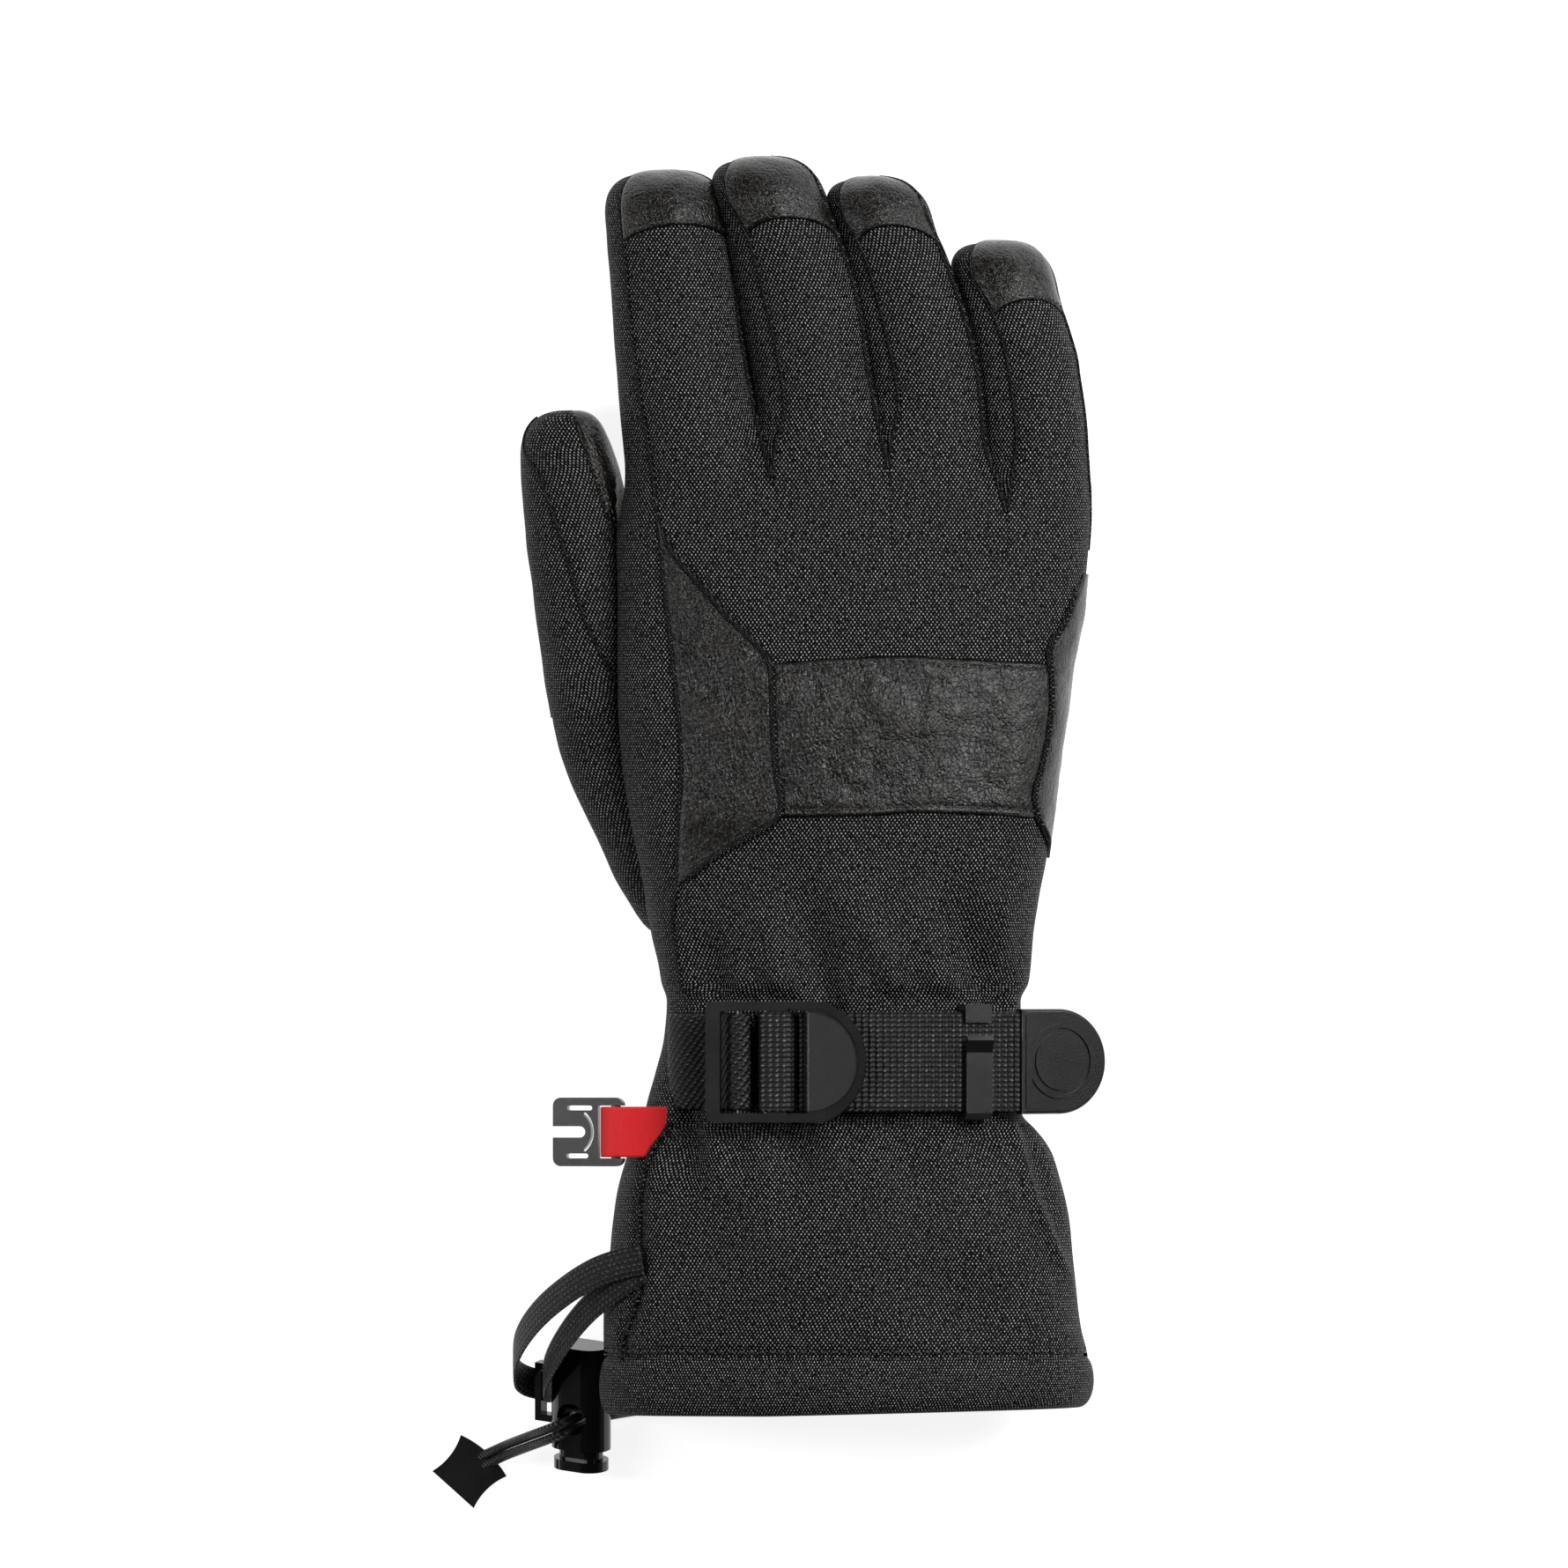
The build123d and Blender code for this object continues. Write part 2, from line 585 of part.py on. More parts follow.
def make_ribbon():
    """Red ribbon: two plies from the seam, round the hook's bar."""
    bar_x, bar_z = CLIP_BAR
    seam_x, seam_z = RIBBON_SEAM
    inner = CLIP_BAR_R + BODY_GAP
    outer = inner + RIBBON_THICK
    run = hypot(seam_x - bar_x, seam_z - bar_z)
    rise = degrees(atan2(seam_z - bar_z, seam_x - bar_x))
    ring = Circle(outer) - Circle(inner)
    taper = degrees(asin((outer - RIBBON_THICK) / run))
    plies = Sketch() + ring
    for side in (1, -1):
        leg = Rot(Z=-side * taper) * Pos(run / 2, side * (outer - RIBBON_THICK / 2)) * Rectangle(run, RIBBON_THICK)
        plies += leg
    section = Rot(Z=rise) * (plies - Pos(0, 0) * Circle(inner))
    loop = extrude(Plane.XZ * section, amount=RIBBON_WIDTH / 2, both=True)
    loop = Pos(bar_x, RIBBON_Y, bar_z) * loop
    add("clip_ribbon", loop - tube_body(CUFF_STATIONS, -0.1) - tube_body(HAND_STATIONS, -0.1))


def make_clip():
    """Glove hook: bar for the ribbon, crescent arm and two prongs with a mouth between them."""
    half = CLIP_WIDTH / 2
    back = CLIP_BAR_R + 0.9
    outline = [
        Line((back, -half + 2), (back, half - 2)),
        ThreePointArc((back, half - 2), (back - 0.6, half - 0.6), (back - 2, half)),
        Line((back - 2, half), (back - CLIP_LENGTH + 2, half)),
        ThreePointArc(
            (back - CLIP_LENGTH + 2, half), (back - CLIP_LENGTH + 0.6, half - 0.6), (back - CLIP_LENGTH, half - 2)
        ),
        Line((back - CLIP_LENGTH, half - 2), (back - CLIP_LENGTH, -half + 2)),
        ThreePointArc(
            (back - CLIP_LENGTH, -half + 2), (back - CLIP_LENGTH + 0.6, -half + 0.6), (back - CLIP_LENGTH + 2, -half)
        ),
        Line((back - CLIP_LENGTH + 2, -half), (back - 2, -half)),
        ThreePointArc((back - 2, -half), (back - 0.6, -half + 0.6), (back, -half + 2)),
    ]
    plate = extrude(make_face(outline), amount=CLIP_THICK / 2, both=True)
    window_half = RIBBON_WIDTH / 2 + BODY_GAP
    window = Pos(-1.0, 0) * Rectangle(6.6, 2 * window_half)
    mouth = Pos(back - CLIP_LENGTH + 3.6, 0) * SlotOverall(9.4, 2.8)
    side_slots = Pos(-9.0, half - 2.6) * SlotOverall(6.4, 1.2) + Pos(-9.6, -half + 2.6) * SlotOverall(5.6, 1.2)
    crescent = Pos(-12.0, 0) * (Circle(6.6) - Circle(5.9) & Pos(5.2, 0) * Rectangle(6, 9.6))
    cuts = extrude(window + mouth + side_slots + crescent, amount=CLIP_THICK, both=True)
    bar = Rot(X=90) * Cylinder(CLIP_BAR_R, 2 * window_half + 1.0)
    bar_x, bar_z = CLIP_BAR
    place = Pos(bar_x, RIBBON_Y, bar_z) * Rot(Y=-CLIP_DROOP)
    add("glove_clip", place * (plate - cuts + bar))


# ---------------------------------------------------------------- cord lock and drawcord

LOCK_WIDTH = 15.6
LOCK_DEPTH = 10.4
LOCK_FROM = 5.4                    # barrel's lower end above the foot
LOCK_LENGTH = 32.0
LOCK_FOOT = (-66.3, -13.2, 7.6)    # middle of the foot's end
LOCK_RISE = 14.0                   # degrees that the barrel's top is raised off the table
LOCK_ROLL = -30.0                  # degrees that its cord hole is turned towards the thumb side
LOCK_SLANT = 30.0
LOCK_WALL = 1.8
PLUNGER_PLAY = 0.15
PLUNGER_FLANGE = 2.6
PLUNGER_END = 15.8
BORE_END = 24.5
HOLE = (8.4, 8.0)
HOLE_Y = 13.6
BUTTON_TRAVEL = 2.4
SPRING_WIRE_R = 0.35
SPRING_R = 2.3
SPRING_PITCH = 2.0
SIDE_BAR_Y = (11.0, 26.0)          # the tape's bar runs along the barrel's side
SIDE_BAR = (1.8, 3.0)
BAR_REACH = 3.0                    # room between the bar and the barrel
CORD_D = 2.4
CORD_PAIR = 2.7                    # spacing of the two drawcord legs
TAB_NEAR, TAB_FAR, TAB_WAIST = 15.5, 14.0, 12.6
TAB_LENGTH = 11.5
TAB_THICK = 2.6
TAB_PLACE = (-94.7, -14.6)
TAB_TURN = 228.0                   # degrees from +X that the tab points
TAPE_WIDTH = 7.6
TAPE_THICK = 1.1


def lock_place():
    return Pos(*LOCK_FOOT) * Rot(X=LOCK_RISE) * Rot(Y=LOCK_ROLL)


def oval_bar(width, depth, y_from, y_to):
    """Obround bar along the lock's own axis."""
    face = Plane.XZ * SlotOverall(width, depth)
    return Pos(0, y_from, 0) * extrude(face, amount=-(y_to - y_from))


def cross_hole(y):
    return Pos(0, y, 0) * extrude(SlotOverall(*HOLE), amount=LOCK_DEPTH, both=True)


def make_lock():
    """Cord lock: slant-topped barrel with a side bar, sprung plunger and its coil."""
    barrel = oval_bar(LOCK_WIDTH, LOCK_DEPTH, LOCK_FROM, LOCK_LENGTH)
    slant = Pos(0, LOCK_LENGTH, -LOCK_DEPTH / 2) * Rot(X=-LOCK_SLANT) * Pos(0, 30, 0) * Box(60, 60, 90)
    bore_width, bore_depth = LOCK_WIDTH - 2 * LOCK_WALL, LOCK_DEPTH - 2 * LOCK_WALL
    bore = oval_bar(bore_width, bore_depth, 0, BORE_END)
    bar_thick, bar_deep = SIDE_BAR
    bar_from, bar_to = SIDE_BAR_Y
    outer_x = -LOCK_WIDTH / 2 - BAR_REACH - bar_thick
    frame_mid = (outer_x + 0, (bar_from + bar_to) / 2, 0)
    frame = Pos(*frame_mid) * Box(
        2 * (BAR_REACH + bar_thick), bar_to - bar_from, bar_deep, align=(Align.MIN, Align.CENTER, Align.CENTER)
    )
    window = Pos(outer_x + bar_thick, (bar_from + bar_to) / 2, 0) * Box(
        2 * BAR_REACH + 4, bar_to - bar_from - 2 * bar_thick, bar_deep + 2,
        align=(Align.MIN, Align.CENTER, Align.CENTER),
    )
    body = barrel + (frame - window)
    add("lock_body", lock_place() * (body - slant - bore - cross_hole(HOLE_Y)))

    play = 2 * PLUNGER_PLAY
    stem = oval_bar(bore_width - play, bore_depth - play, PLUNGER_FLANGE - 0.5, PLUNGER_END)
    flange = oval_bar(LOCK_WIDTH - 1.2, LOCK_DEPTH - 0.8, 0, PLUNGER_FLANGE)
    add("lock_button", lock_place() * (stem + flange - cross_hole(HOLE_Y - BUTTON_TRAVEL)))

    height = BORE_END - PLUNGER_END - 2 * SPRING_WIRE_R - 0.1
    helix = Helix(SPRING_PITCH, height, SPRING_R)
    start = Plane(helix @ 0, z_dir=helix % 0)
    coil = sweep(start * Circle(SPRING_WIRE_R), path=helix)
    add("lock_spring", lock_place() * Pos(0, PLUNGER_END + SPRING_WIRE_R + 0.05, 0) * Rot(X=-90) * coil)


def rounded_path(points):
    """Straight runs joined by the largest tangent arcs that they have room for."""
    radii = []
    for before, corner, after in zip(points, points[1:], points[2:]):
        run_in = Vector(*corner) - Vector(*before)
        run_out = Vector(*after) - Vector(*corner)
        turn = radians(run_in.get_angle(run_out))
        radii.append(0.45 * min(run_in.length, run_out.length) / tan(turn / 2))
    return FilletPolyline(*points, radius=radii), radii


def report_cord(label, path, radii, volume, section):
    """Print a cord's length and arcs, and its volume beside section times length."""
    arcs = [round(radius, 1) for radius in radii]
    print(f"{label}: length {path.length:.1f}, radii {arcs}, volume {volume:.1f} of {section * path.length:.1f}")


# Middle of the drawcord's two legs: out of the hem, under the lock, up its
# hole, over its edge and down to the pull tab.
CORD_ROUTE = [
    (-51.0, 2.6, 12.0),
    (-55.4, 1.8, 5.4),
    (-58.6, 1.2, 2.3),
    (-61.7, 0.57, 2.84),
    (-70.0, -2.9, 16.75),
    (-73.8, -4.4, 18.6),
    (-78.6, -6.2, 16.6),
    (-83.2, -8.0, 10.6),
    (-86.6, -9.5, 4.6),
    (-91.6, -11.9, 1.6),
]

# Middle of the tape: from the cuff's seam, round the lock's side bar and back.
TAPE_ROUTE = [
    (-50.8, 39.6, 51.0),
    (-58.8, 38.2, 48.6),
    (-68.0, 33.4, 41.0),
    (-77.2, 25.8, 29.5),
    (-82.8, 17.4, 17.5),
    (-83.0, 10.6, 8.6),
    (-80.4, 8.4, 3.8),
    (-76.2, 7.4, 2.4),
    (-73.0, 6.9, 5.2),
    (-75.8, 6.9, 12.4),
    (-74.8, 12.4, 20.8),
    (-68.6, 22.6, 33.0),
    (-60.0, 31.6, 44.6),
    (-50.8, 37.2, 49.7),
]
TAPE_STEPS = 48


def make_anchor_tape():
    """Flat tape, sewn into the cuff's seam, that goes through the lock's side bar and back."""
    path, radii = rounded_path(TAPE_ROUTE)
    sections = []
    for step in range(TAPE_STEPS + 1):
        along = step / TAPE_STEPS
        place = Plane(path @ along, x_dir=(0, 1, 0), z_dir=path % along)
        sections.append(place * Rectangle(TAPE_WIDTH, TAPE_THICK))
    tape = loft(sections, ruled=True) - tube_body(CUFF_STATIONS, -SEAM_GAP)
    report_cord("anchor tape", path, radii, tape.volume, TAPE_WIDTH * TAPE_THICK)
    add("anchor_tape", tape)


def make_drawcord():
    legs = []
    for side in (1, -1):
        shift = side * CORD_PAIR / 2
        points = [(x, y + shift * cos(radians(LOCK_RISE)), z + shift * sin(radians(LOCK_RISE))) for x, y, z in CORD_ROUTE]
        path, radii = rounded_path(points)
        start = Plane(path @ 0, z_dir=path % 0)
        leg = sweep(start * Circle(CORD_D / 2), path=path)
        report_cord("drawcord leg", path, radii, leg.volume, pi * CORD_D**2 / 4)
        legs.append(leg)
    add("drawcord_tails", Compound(children=legs))


def make_pull_tab():
    """Flared fabric tab folded over the ends of the drawcord."""
    near, far, waist = TAB_NEAR / 2, TAB_FAR / 2, TAB_WAIST / 2
    half = TAB_LENGTH / 2
    outline = [
        ThreePointArc((-half, -near), (-half - 1.2, 0), (-half, near)),
        ThreePointArc((-half, near), (0, waist), (half, far)),
        Line((half, far), (half, -far)),
        ThreePointArc((half, -far), (0, -waist), (-half, -near)),
    ]
    tab = extrude(make_face(outline), amount=TAB_THICK)
    add("pull_tab", Pos(*TAB_PLACE, BODY_GAP) * Rot(Z=TAB_TURN) * tab)


# ---------------------------------------------------------------- build

make_hand()
make_finger_web()
make_cuff()
for finger in FINGERS:
    make_finger(finger)
make_thumb()
make_elastic_strap()
make_buckle()
make_webbing()
make_end_tab()
make_keeper()
make_ribbon()
make_clip()
make_lock()
make_anchor_tape()
make_drawcord()
make_pull_tab()

# The origin is the middle of the glove's own footprint, without the cord lock
# and what hangs from it.
CORD_NODES = {"anchor_tape", "drawcord_tails", "pull_tab", "lock_body", "lock_button", "lock_spring"}
boxes = [shape.bounding_box() for name, shape in nodes.items() if name not in CORD_NODES]
MIDDLE_X = (min(box.min.X for box in boxes) + max(box.max.X for box in boxes)) / 2
MIDDLE_Y = (min(box.min.Y for box in boxes) + max(box.max.Y for box in boxes)) / 2
print(f"footprint middle {MIDDLE_X:.4f}, {MIDDLE_Y:.4f}, lowest {min(box.min.Z for box in boxes):.4f}")

os.makedirs("parts", exist_ok=True)
for name, shape in nodes.items():
    placed = Pos(-MIDDLE_X, -MIDDLE_Y, 0) * shape
    export_step(placed, f"parts/{name}.step")
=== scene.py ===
from math import acos, asin, ceil, copysign, cos, exp, hypot, pi, radians, sin, sqrt

import bpy
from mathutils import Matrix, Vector, noise


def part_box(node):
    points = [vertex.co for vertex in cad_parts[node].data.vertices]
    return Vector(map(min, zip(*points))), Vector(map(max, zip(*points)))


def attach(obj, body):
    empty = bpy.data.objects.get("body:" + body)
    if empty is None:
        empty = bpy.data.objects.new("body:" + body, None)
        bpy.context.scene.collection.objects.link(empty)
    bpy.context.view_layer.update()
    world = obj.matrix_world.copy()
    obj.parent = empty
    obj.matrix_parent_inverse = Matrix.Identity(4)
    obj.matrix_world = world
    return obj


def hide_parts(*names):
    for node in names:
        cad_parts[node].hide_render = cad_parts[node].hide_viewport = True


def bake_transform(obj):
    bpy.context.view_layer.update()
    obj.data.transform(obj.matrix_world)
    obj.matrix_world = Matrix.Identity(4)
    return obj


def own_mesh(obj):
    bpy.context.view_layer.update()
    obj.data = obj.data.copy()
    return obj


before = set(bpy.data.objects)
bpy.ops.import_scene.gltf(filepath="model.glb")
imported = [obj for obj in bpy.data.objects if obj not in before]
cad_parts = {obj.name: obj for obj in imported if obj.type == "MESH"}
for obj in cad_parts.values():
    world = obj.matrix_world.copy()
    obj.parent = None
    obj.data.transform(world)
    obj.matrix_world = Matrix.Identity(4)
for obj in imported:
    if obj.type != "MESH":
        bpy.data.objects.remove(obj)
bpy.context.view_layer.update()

# The glove is laid out in millimetres with the cuff's mouth at y = 0, the
# thumb on -x and the table at z = 0.  SHIFT takes that to the row frame.
HEM_MIDDLE_X = 0.15
hem_low, hem_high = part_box("hem_band")
SHIFT = Vector(((hem_low[0] + hem_high[0]) * 500 - HEM_MIDDLE_X, hem_low[1] * 1000, 0.0))


def metres(point):
    """A point in glove millimetres, as a row-frame point in metres."""
    return (Vector(point) + SHIFT) / 1000


# ---- small maths


def mix(a, b, t):
    return a + (b - a) * t


def clamp(value, low=0.0, high=1.0):
    return max(low, min(high, value))


def smooth(low, high, value):
    """0 below low, 1 above high, and an S curve between them."""
    t = clamp((value - low) / (high - low))
    return t * t * (3 - 2 * t)


def bump_at(value, middle, width):
    """A soft bump of height 1 at the middle."""
    return exp(-(((value - middle) / width) ** 2))


def curve_through(table, at):
    """Value of a smooth monotone curve through (place, value) pairs."""
    if at <= table[0][0]:
        return table[0][1]
    if at >= table[-1][0]:
        return table[-1][1]
    i = 0
    while at > table[i + 1][0]:
        i += 1
    x0, y0 = table[i]
    x1, y1 = table[i + 1]

    def slope(j):
        return (table[j + 1][1] - table[j][1]) / (table[j + 1][0] - table[j][0])

    def knot(j):
        if j <= 0 or j >= len(table) - 1:
            return slope(i)
        before, after = slope(j - 1), slope(j)
        if before * after <= 0:
            return 0.0
        return 2 * before * after / (before + after)

    width = x1 - x0
    t = (at - x0) / width
    m0, m1 = knot(i) * width, knot(i + 1) * width
    return (
        (2 * t**3 - 3 * t**2 + 1) * y0
        + (t**3 - 2 * t**2 + t) * m0
        + (-2 * t**3 + 3 * t**2) * y1
        + (t**3 - t**2) * m1
    )


def signed_power(value, power):
    return copysign(abs(value) ** power, value)


def span(low, high, step):
    """Evenly spread values from low to high, no more than step apart."""
    count = max(1, ceil((high - low) / step))
    return [mix(low, high, i / count) for i in range(count + 1)]


def ripple(x, y, z, scale, seed=0.0):
    """Smooth noise from about -1 to 1, with detail of the given size in millimetres."""
    return noise.noise(Vector((x / scale + seed * 17.3, y / scale - seed * 9.1, z / scale + seed * 5.7)))


# ---- meshes


def new_object(name, data, material, body, replaces=None):
    """A piece on one body, or, where body is (first, second, y from, y to), one on no body with its place
    baked into its mesh.
    """
    obj = bpy.data.objects.new(name, data)
    bpy.context.scene.collection.objects.link(obj)
    data.materials.append(material)
    if isinstance(body, tuple):
        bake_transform(obj)
    else:
        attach(obj, body)
    if replaces:
        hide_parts(replaces)
    return obj


def mesh_data(name, points, faces, uvs=None):
    """Smooth-shaded mesh from points in glove millimetres, with UVs in millimetres."""
    data = bpy.data.meshes.new(name)
    data.from_pydata([metres(p) for p in points], [], faces)
    if uvs is not None:
        layer = data.uv_layers.new(name="cloth")
        for loop in data.loops:
            layer.data[loop.index].uv = uvs[loop.vertex_index]
    data.polygons.foreach_set("use_smooth", [True] * len(data.polygons))
    data.update()
    return data


def grid_faces(rows, columns, closed=False, start=0):
    faces = []
    for low in range(start, start + (rows - 1) * columns, columns):
        for j in range(columns if closed else columns - 1):
            k = (j + 1) % columns
            faces.append((low + j, low + k, low + columns + k, low + columns + j))
    return faces


def tube_faces(rows, columns, start=0):
    """Faces of a tube of rings, closed at both ends."""
    last = start + (rows - 1) * columns
    ends = [tuple(range(start, start + columns))[::-1], tuple(range(last, last + columns))]
    return grid_faces(rows, columns, True, start) + ends


def sheet_mesh(name, surface, rows, columns):
    """Grid over surface(u, v) for u across and v along, both from 0 to 1."""
    points, uvs = [], []
    for i in range(rows):
        row = [Vector(surface(j / (columns - 1), i / (rows - 1))) for j in range(columns)]
        arc = [0.0]
        for a, b in zip(row, row[1:]):
            arc.append(arc[-1] + (b - a).length)
        points += row
        uvs += [(run - arc[columns // 2], point.y) for run, point in zip(arc, row)]
    return mesh_data(name, points, grid_faces(rows, columns), uvs)


def sleeve(name, surface, rows, around, material, body, replaces, capped=True):
    """Lining over surface(u, v), u all the way round: its wall faces in and its far end is closed."""
    verts = [surface(j / around, i / (rows - 1)) for i in range(rows) for j in range(around)]
    faces = [face[::-1] for face in grid_faces(rows, around, closed=True)]
    if capped:
        faces.append(tuple(range((rows - 1) * around, rows * around)))
    return new_object(name, mesh_data(name, verts, faces), material, body, replaces)


def thicken(obj, thick):
    """Give a sheet its thickness in millimetres, inwards."""
    wall = obj.modifiers.new("wall", "SOLIDIFY")
    wall.thickness = thick / 1000
    wall.offset = -1.0
    wall.use_even_offset = False


def line_curve(name, points, radius=0.0):
    """Open NURBS line, round to the radius, with points in glove millimetres as its control points."""
    curve = bpy.data.curves.new(name, "CURVE")
    curve.dimensions = "3D"
    spline = curve.splines.new("NURBS")
    spline.points.add(len(points) - 1)
    for target, point in zip(spline.points, points):
        target.co = (*metres(point), 1.0)
    spline.order_u = 3
    spline.use_endpoint_u = True
    spline.resolution_u = 12
    curve.bevel_depth = radius / 1000
    curve.bevel_resolution = 3
    curve.use_fill_caps = True
    return curve


def curve_mesh(curve):
    """The curve's mesh, in the curve's place."""
    holder = bpy.data.objects.new(curve.name, curve)
    data = bpy.data.meshes.new_from_object(holder)
    data.name = curve.name
    bpy.data.objects.remove(holder)
    bpy.data.curves.remove(curve)
    return data


# ---- the glove's shape

# Outer girth of cuff and hand along y.
LEFT = [(-1, -58.6), (2, -60.0), (8, -60.4), (15, -59.8), (25, -60.0), (43, -58.2), (54, -57.0), (64, -54.3),
        (72, -51.4), (78, -50.4), (86, -48.2), (95, -46.0), (104, -45.3), (112, -46.2), (121, -48.3),
        (130, -50.0), (175, -56.6), (200, -56.8), (230, -56.8), (252, -57.0)]
RIGHT = [(-1, 58.6), (3, 60.2), (8, 60.8), (14, 60.6), (22, 58.9), (39, 56.6), (52, 55.2), (65, 52.0),
         (72, 47.8), (76, 44.7), (104, 44.4), (112, 45.3), (130, 48.1), (139, 49.8), (154, 51.6),
         (176, 54.7), (187, 56.2), (196, 58.0), (212, 60.0), (222, 60.8), (252, 61.0)]
BOTTOM = [(-1, 0.9), (3, 0.3), (15, 0.4), (42, 1.3), (64, 3.6), (74, 9.1), (106, 9.1), (130, 8.5), (175, 7.1),
          (230, 4.2), (252, 4.2)]
TOP = [(-1, 63.2), (3, 63.9), (15, 63.4), (42, 61.6), (64, 57.2), (74, 52.8), (106, 52.8), (130, 51.6),
       (175, 48.6), (230, 38.6), (252, 35.6)]
CORNER = [(-1, 25), (42, 23), (64, 20), (74, 16), (106, 16), (130, 17.5), (175, 17), (230, 14.5), (252, 14.5)]


def girth(y, grow=0.0):
    """Half width, half height, corner radius, long radius and middle of the girth at y."""
    left, right = curve_through(LEFT, y), curve_through(RIGHT, y)
    bottom, top = curve_through(BOTTOM, y), curve_through(TOP, y)
    corner = curve_through(CORNER, y) + grow
    half_w, half_h = (right - left) / 2 + grow, (top - bottom) / 2 + grow
    reach = half_w - corner
    long_r = (reach**2 + half_h**2 - corner**2) / (2 * (half_h - corner))
    return half_w, half_h, corner, long_r, (left + right) / 2, (bottom + top) / 2


def half_girth(y, grow=0.0):
    """The girth at y, with the angle of its corner arc and the length of its upper half."""
    half_w, half_h, corner, long_r, mid_x, mid_z = girth(y, grow)
    tilt = acos(clamp((half_w - corner) / (long_r - corner)))
    total = 2 * (corner * tilt + long_r * (pi / 2 - tilt))
    return half_w, half_h, corner, long_r, mid_x, mid_z, tilt, total


def girth_point(y, t, grow=0.0):
    """Point and outward normal on the girth.

    t runs 0 to 1 over the back of the hand from the thumb side to the outer
    side, both at mid height, and on from 1 to 2 back under the palm.
    """
    half_w, half_h, corner, long_r, mid_x, mid_z, tilt, total = half_girth(y, grow)
    under = t > 1
    along = clamp(2 - t if under else t) * total
    side = -1.0
    if along > total / 2:
        along, side = total - along, 1.0
    if along < corner * tilt:
        angle = along / corner
        x, z = half_w - corner + corner * cos(angle), corner * sin(angle)
    else:
        angle = tilt + (along - corner * tilt) / long_r
        x, z = long_r * cos(angle), long_r * sin(angle) + half_h - long_r
    up = -1.0 if under else 1.0
    return Vector((mid_x + side * x, y, mid_z + up * z)), Vector((side * cos(angle), 0.0, up * sin(angle)))


def girth_t(y, x):
    """The t over the back of the hand at which the girth has this x."""
    half_w, half_h, corner, long_r, mid_x, mid_z, tilt, total = half_girth(y)
    off = clamp(abs(x - mid_x), 0, half_w)
    if off > long_r * cos(tilt):
        along = corner * acos(clamp((off - (half_w - corner)) / corner))
    else:
        along = corner * tilt + long_r * (acos(off / long_r) - tilt)
    return along / total if x < mid_x else 1 - along / total


# Folds pressed into the cloth beside the strap and on the cuff: the valley's two ends, half width and depth.
FOLDS = [
    ((-14.0, 141.0), (-4.0, 103.0), 6.5, 3.4),
    ((-1.0, 126.0), (8.0, 103.0), 4.0, 1.6),
    ((25.0, 137.0), (36.0, 103.0), 6.0, 2.8),
    ((45.0, 130.0), (41.0, 103.0), 4.5, 1.6),
    ((-37.0, 126.0), (-31.0, 103.0), 4.5, 2.0),
    ((-25.0, 120.0), (-20.0, 103.0), 3.5, 1.2),
    ((17.0, 122.0), (18.0, 103.0), 3.5, 1.2),
    ((-41.0, 50.0), (-39.5, 77.0), 5.0, 3.0),
    ((-13.5, 52.0), (-11.5, 77.0), 5.0, 2.4),
    ((-29.0, 60.0), (-26.0, 77.0), 3.5, 1.3),
    ((20.0, 54.0), (12.0, 77.0), 5.0, 1.8),
    ((36.0, 58.0), (31.0, 77.0), 4.0, 1.4),
    ((-48.0, 24.0), (-30.0, 52.0), 8.0, 0.9),
    ((8.0, 38.0), (36.0, 24.0), 10.0, 0.9),
]


def fold_depth(x, y):
    """Depth of the folds' valleys; beside each of them the cloth stands up a little."""
    depth = 0.0
    for (x0, y0), (x1, y1), width, deep in FOLDS:
        run = hypot(x1 - x0, y1 - y0)
        along = ((x - x0) * (x1 - x0) + (y - y0) * (y1 - y0)) / run
        across = ((x - x0) * (y1 - y0) - (y - y0) * (x1 - x0)) / run
        fade = smooth(-0.15 * run, 0.8 * run, along) * (1 - smooth(1.0 * run, 1.15 * run, along))
        lips = 0.45 * bump_at(abs(across), 1.6 * width, width)
        depth += deep * fade * (bump_at(across, 0.0, width) - lips)
    return depth


def fold_sink(x, y, z):
    """How far the folds pull the cloth in; none of them goes round to the palm."""
    return 1.35 * fold_depth(x, y) * smooth(18, 32, z)


def under_strap(y):
    """1 where the strap presses on the wrist."""
    return smooth(69.0, 74.0, y) * (1 - smooth(104.0, 109.0, y))


def loft_height(x, y, z):
    """How far the cloth stands off the girth: padding, folds and small ripples."""
    height = 0.4 + 0.45 * ripple(x, y, z, 26.0) + 0.16 * ripple(x, y, z, 9.0, 1.0) - fold_sink(x, y, z)
    return mix(height, min(height, -0.5), under_strap(y))


def hand_surface(y, t, lift=0.0):
    """A point on the cloth of the hand or cuff, lift millimetres proud of it."""
    point, normal = girth_point(y, t)
    return point + normal * (loft_height(*point) + lift)


# ---- digits


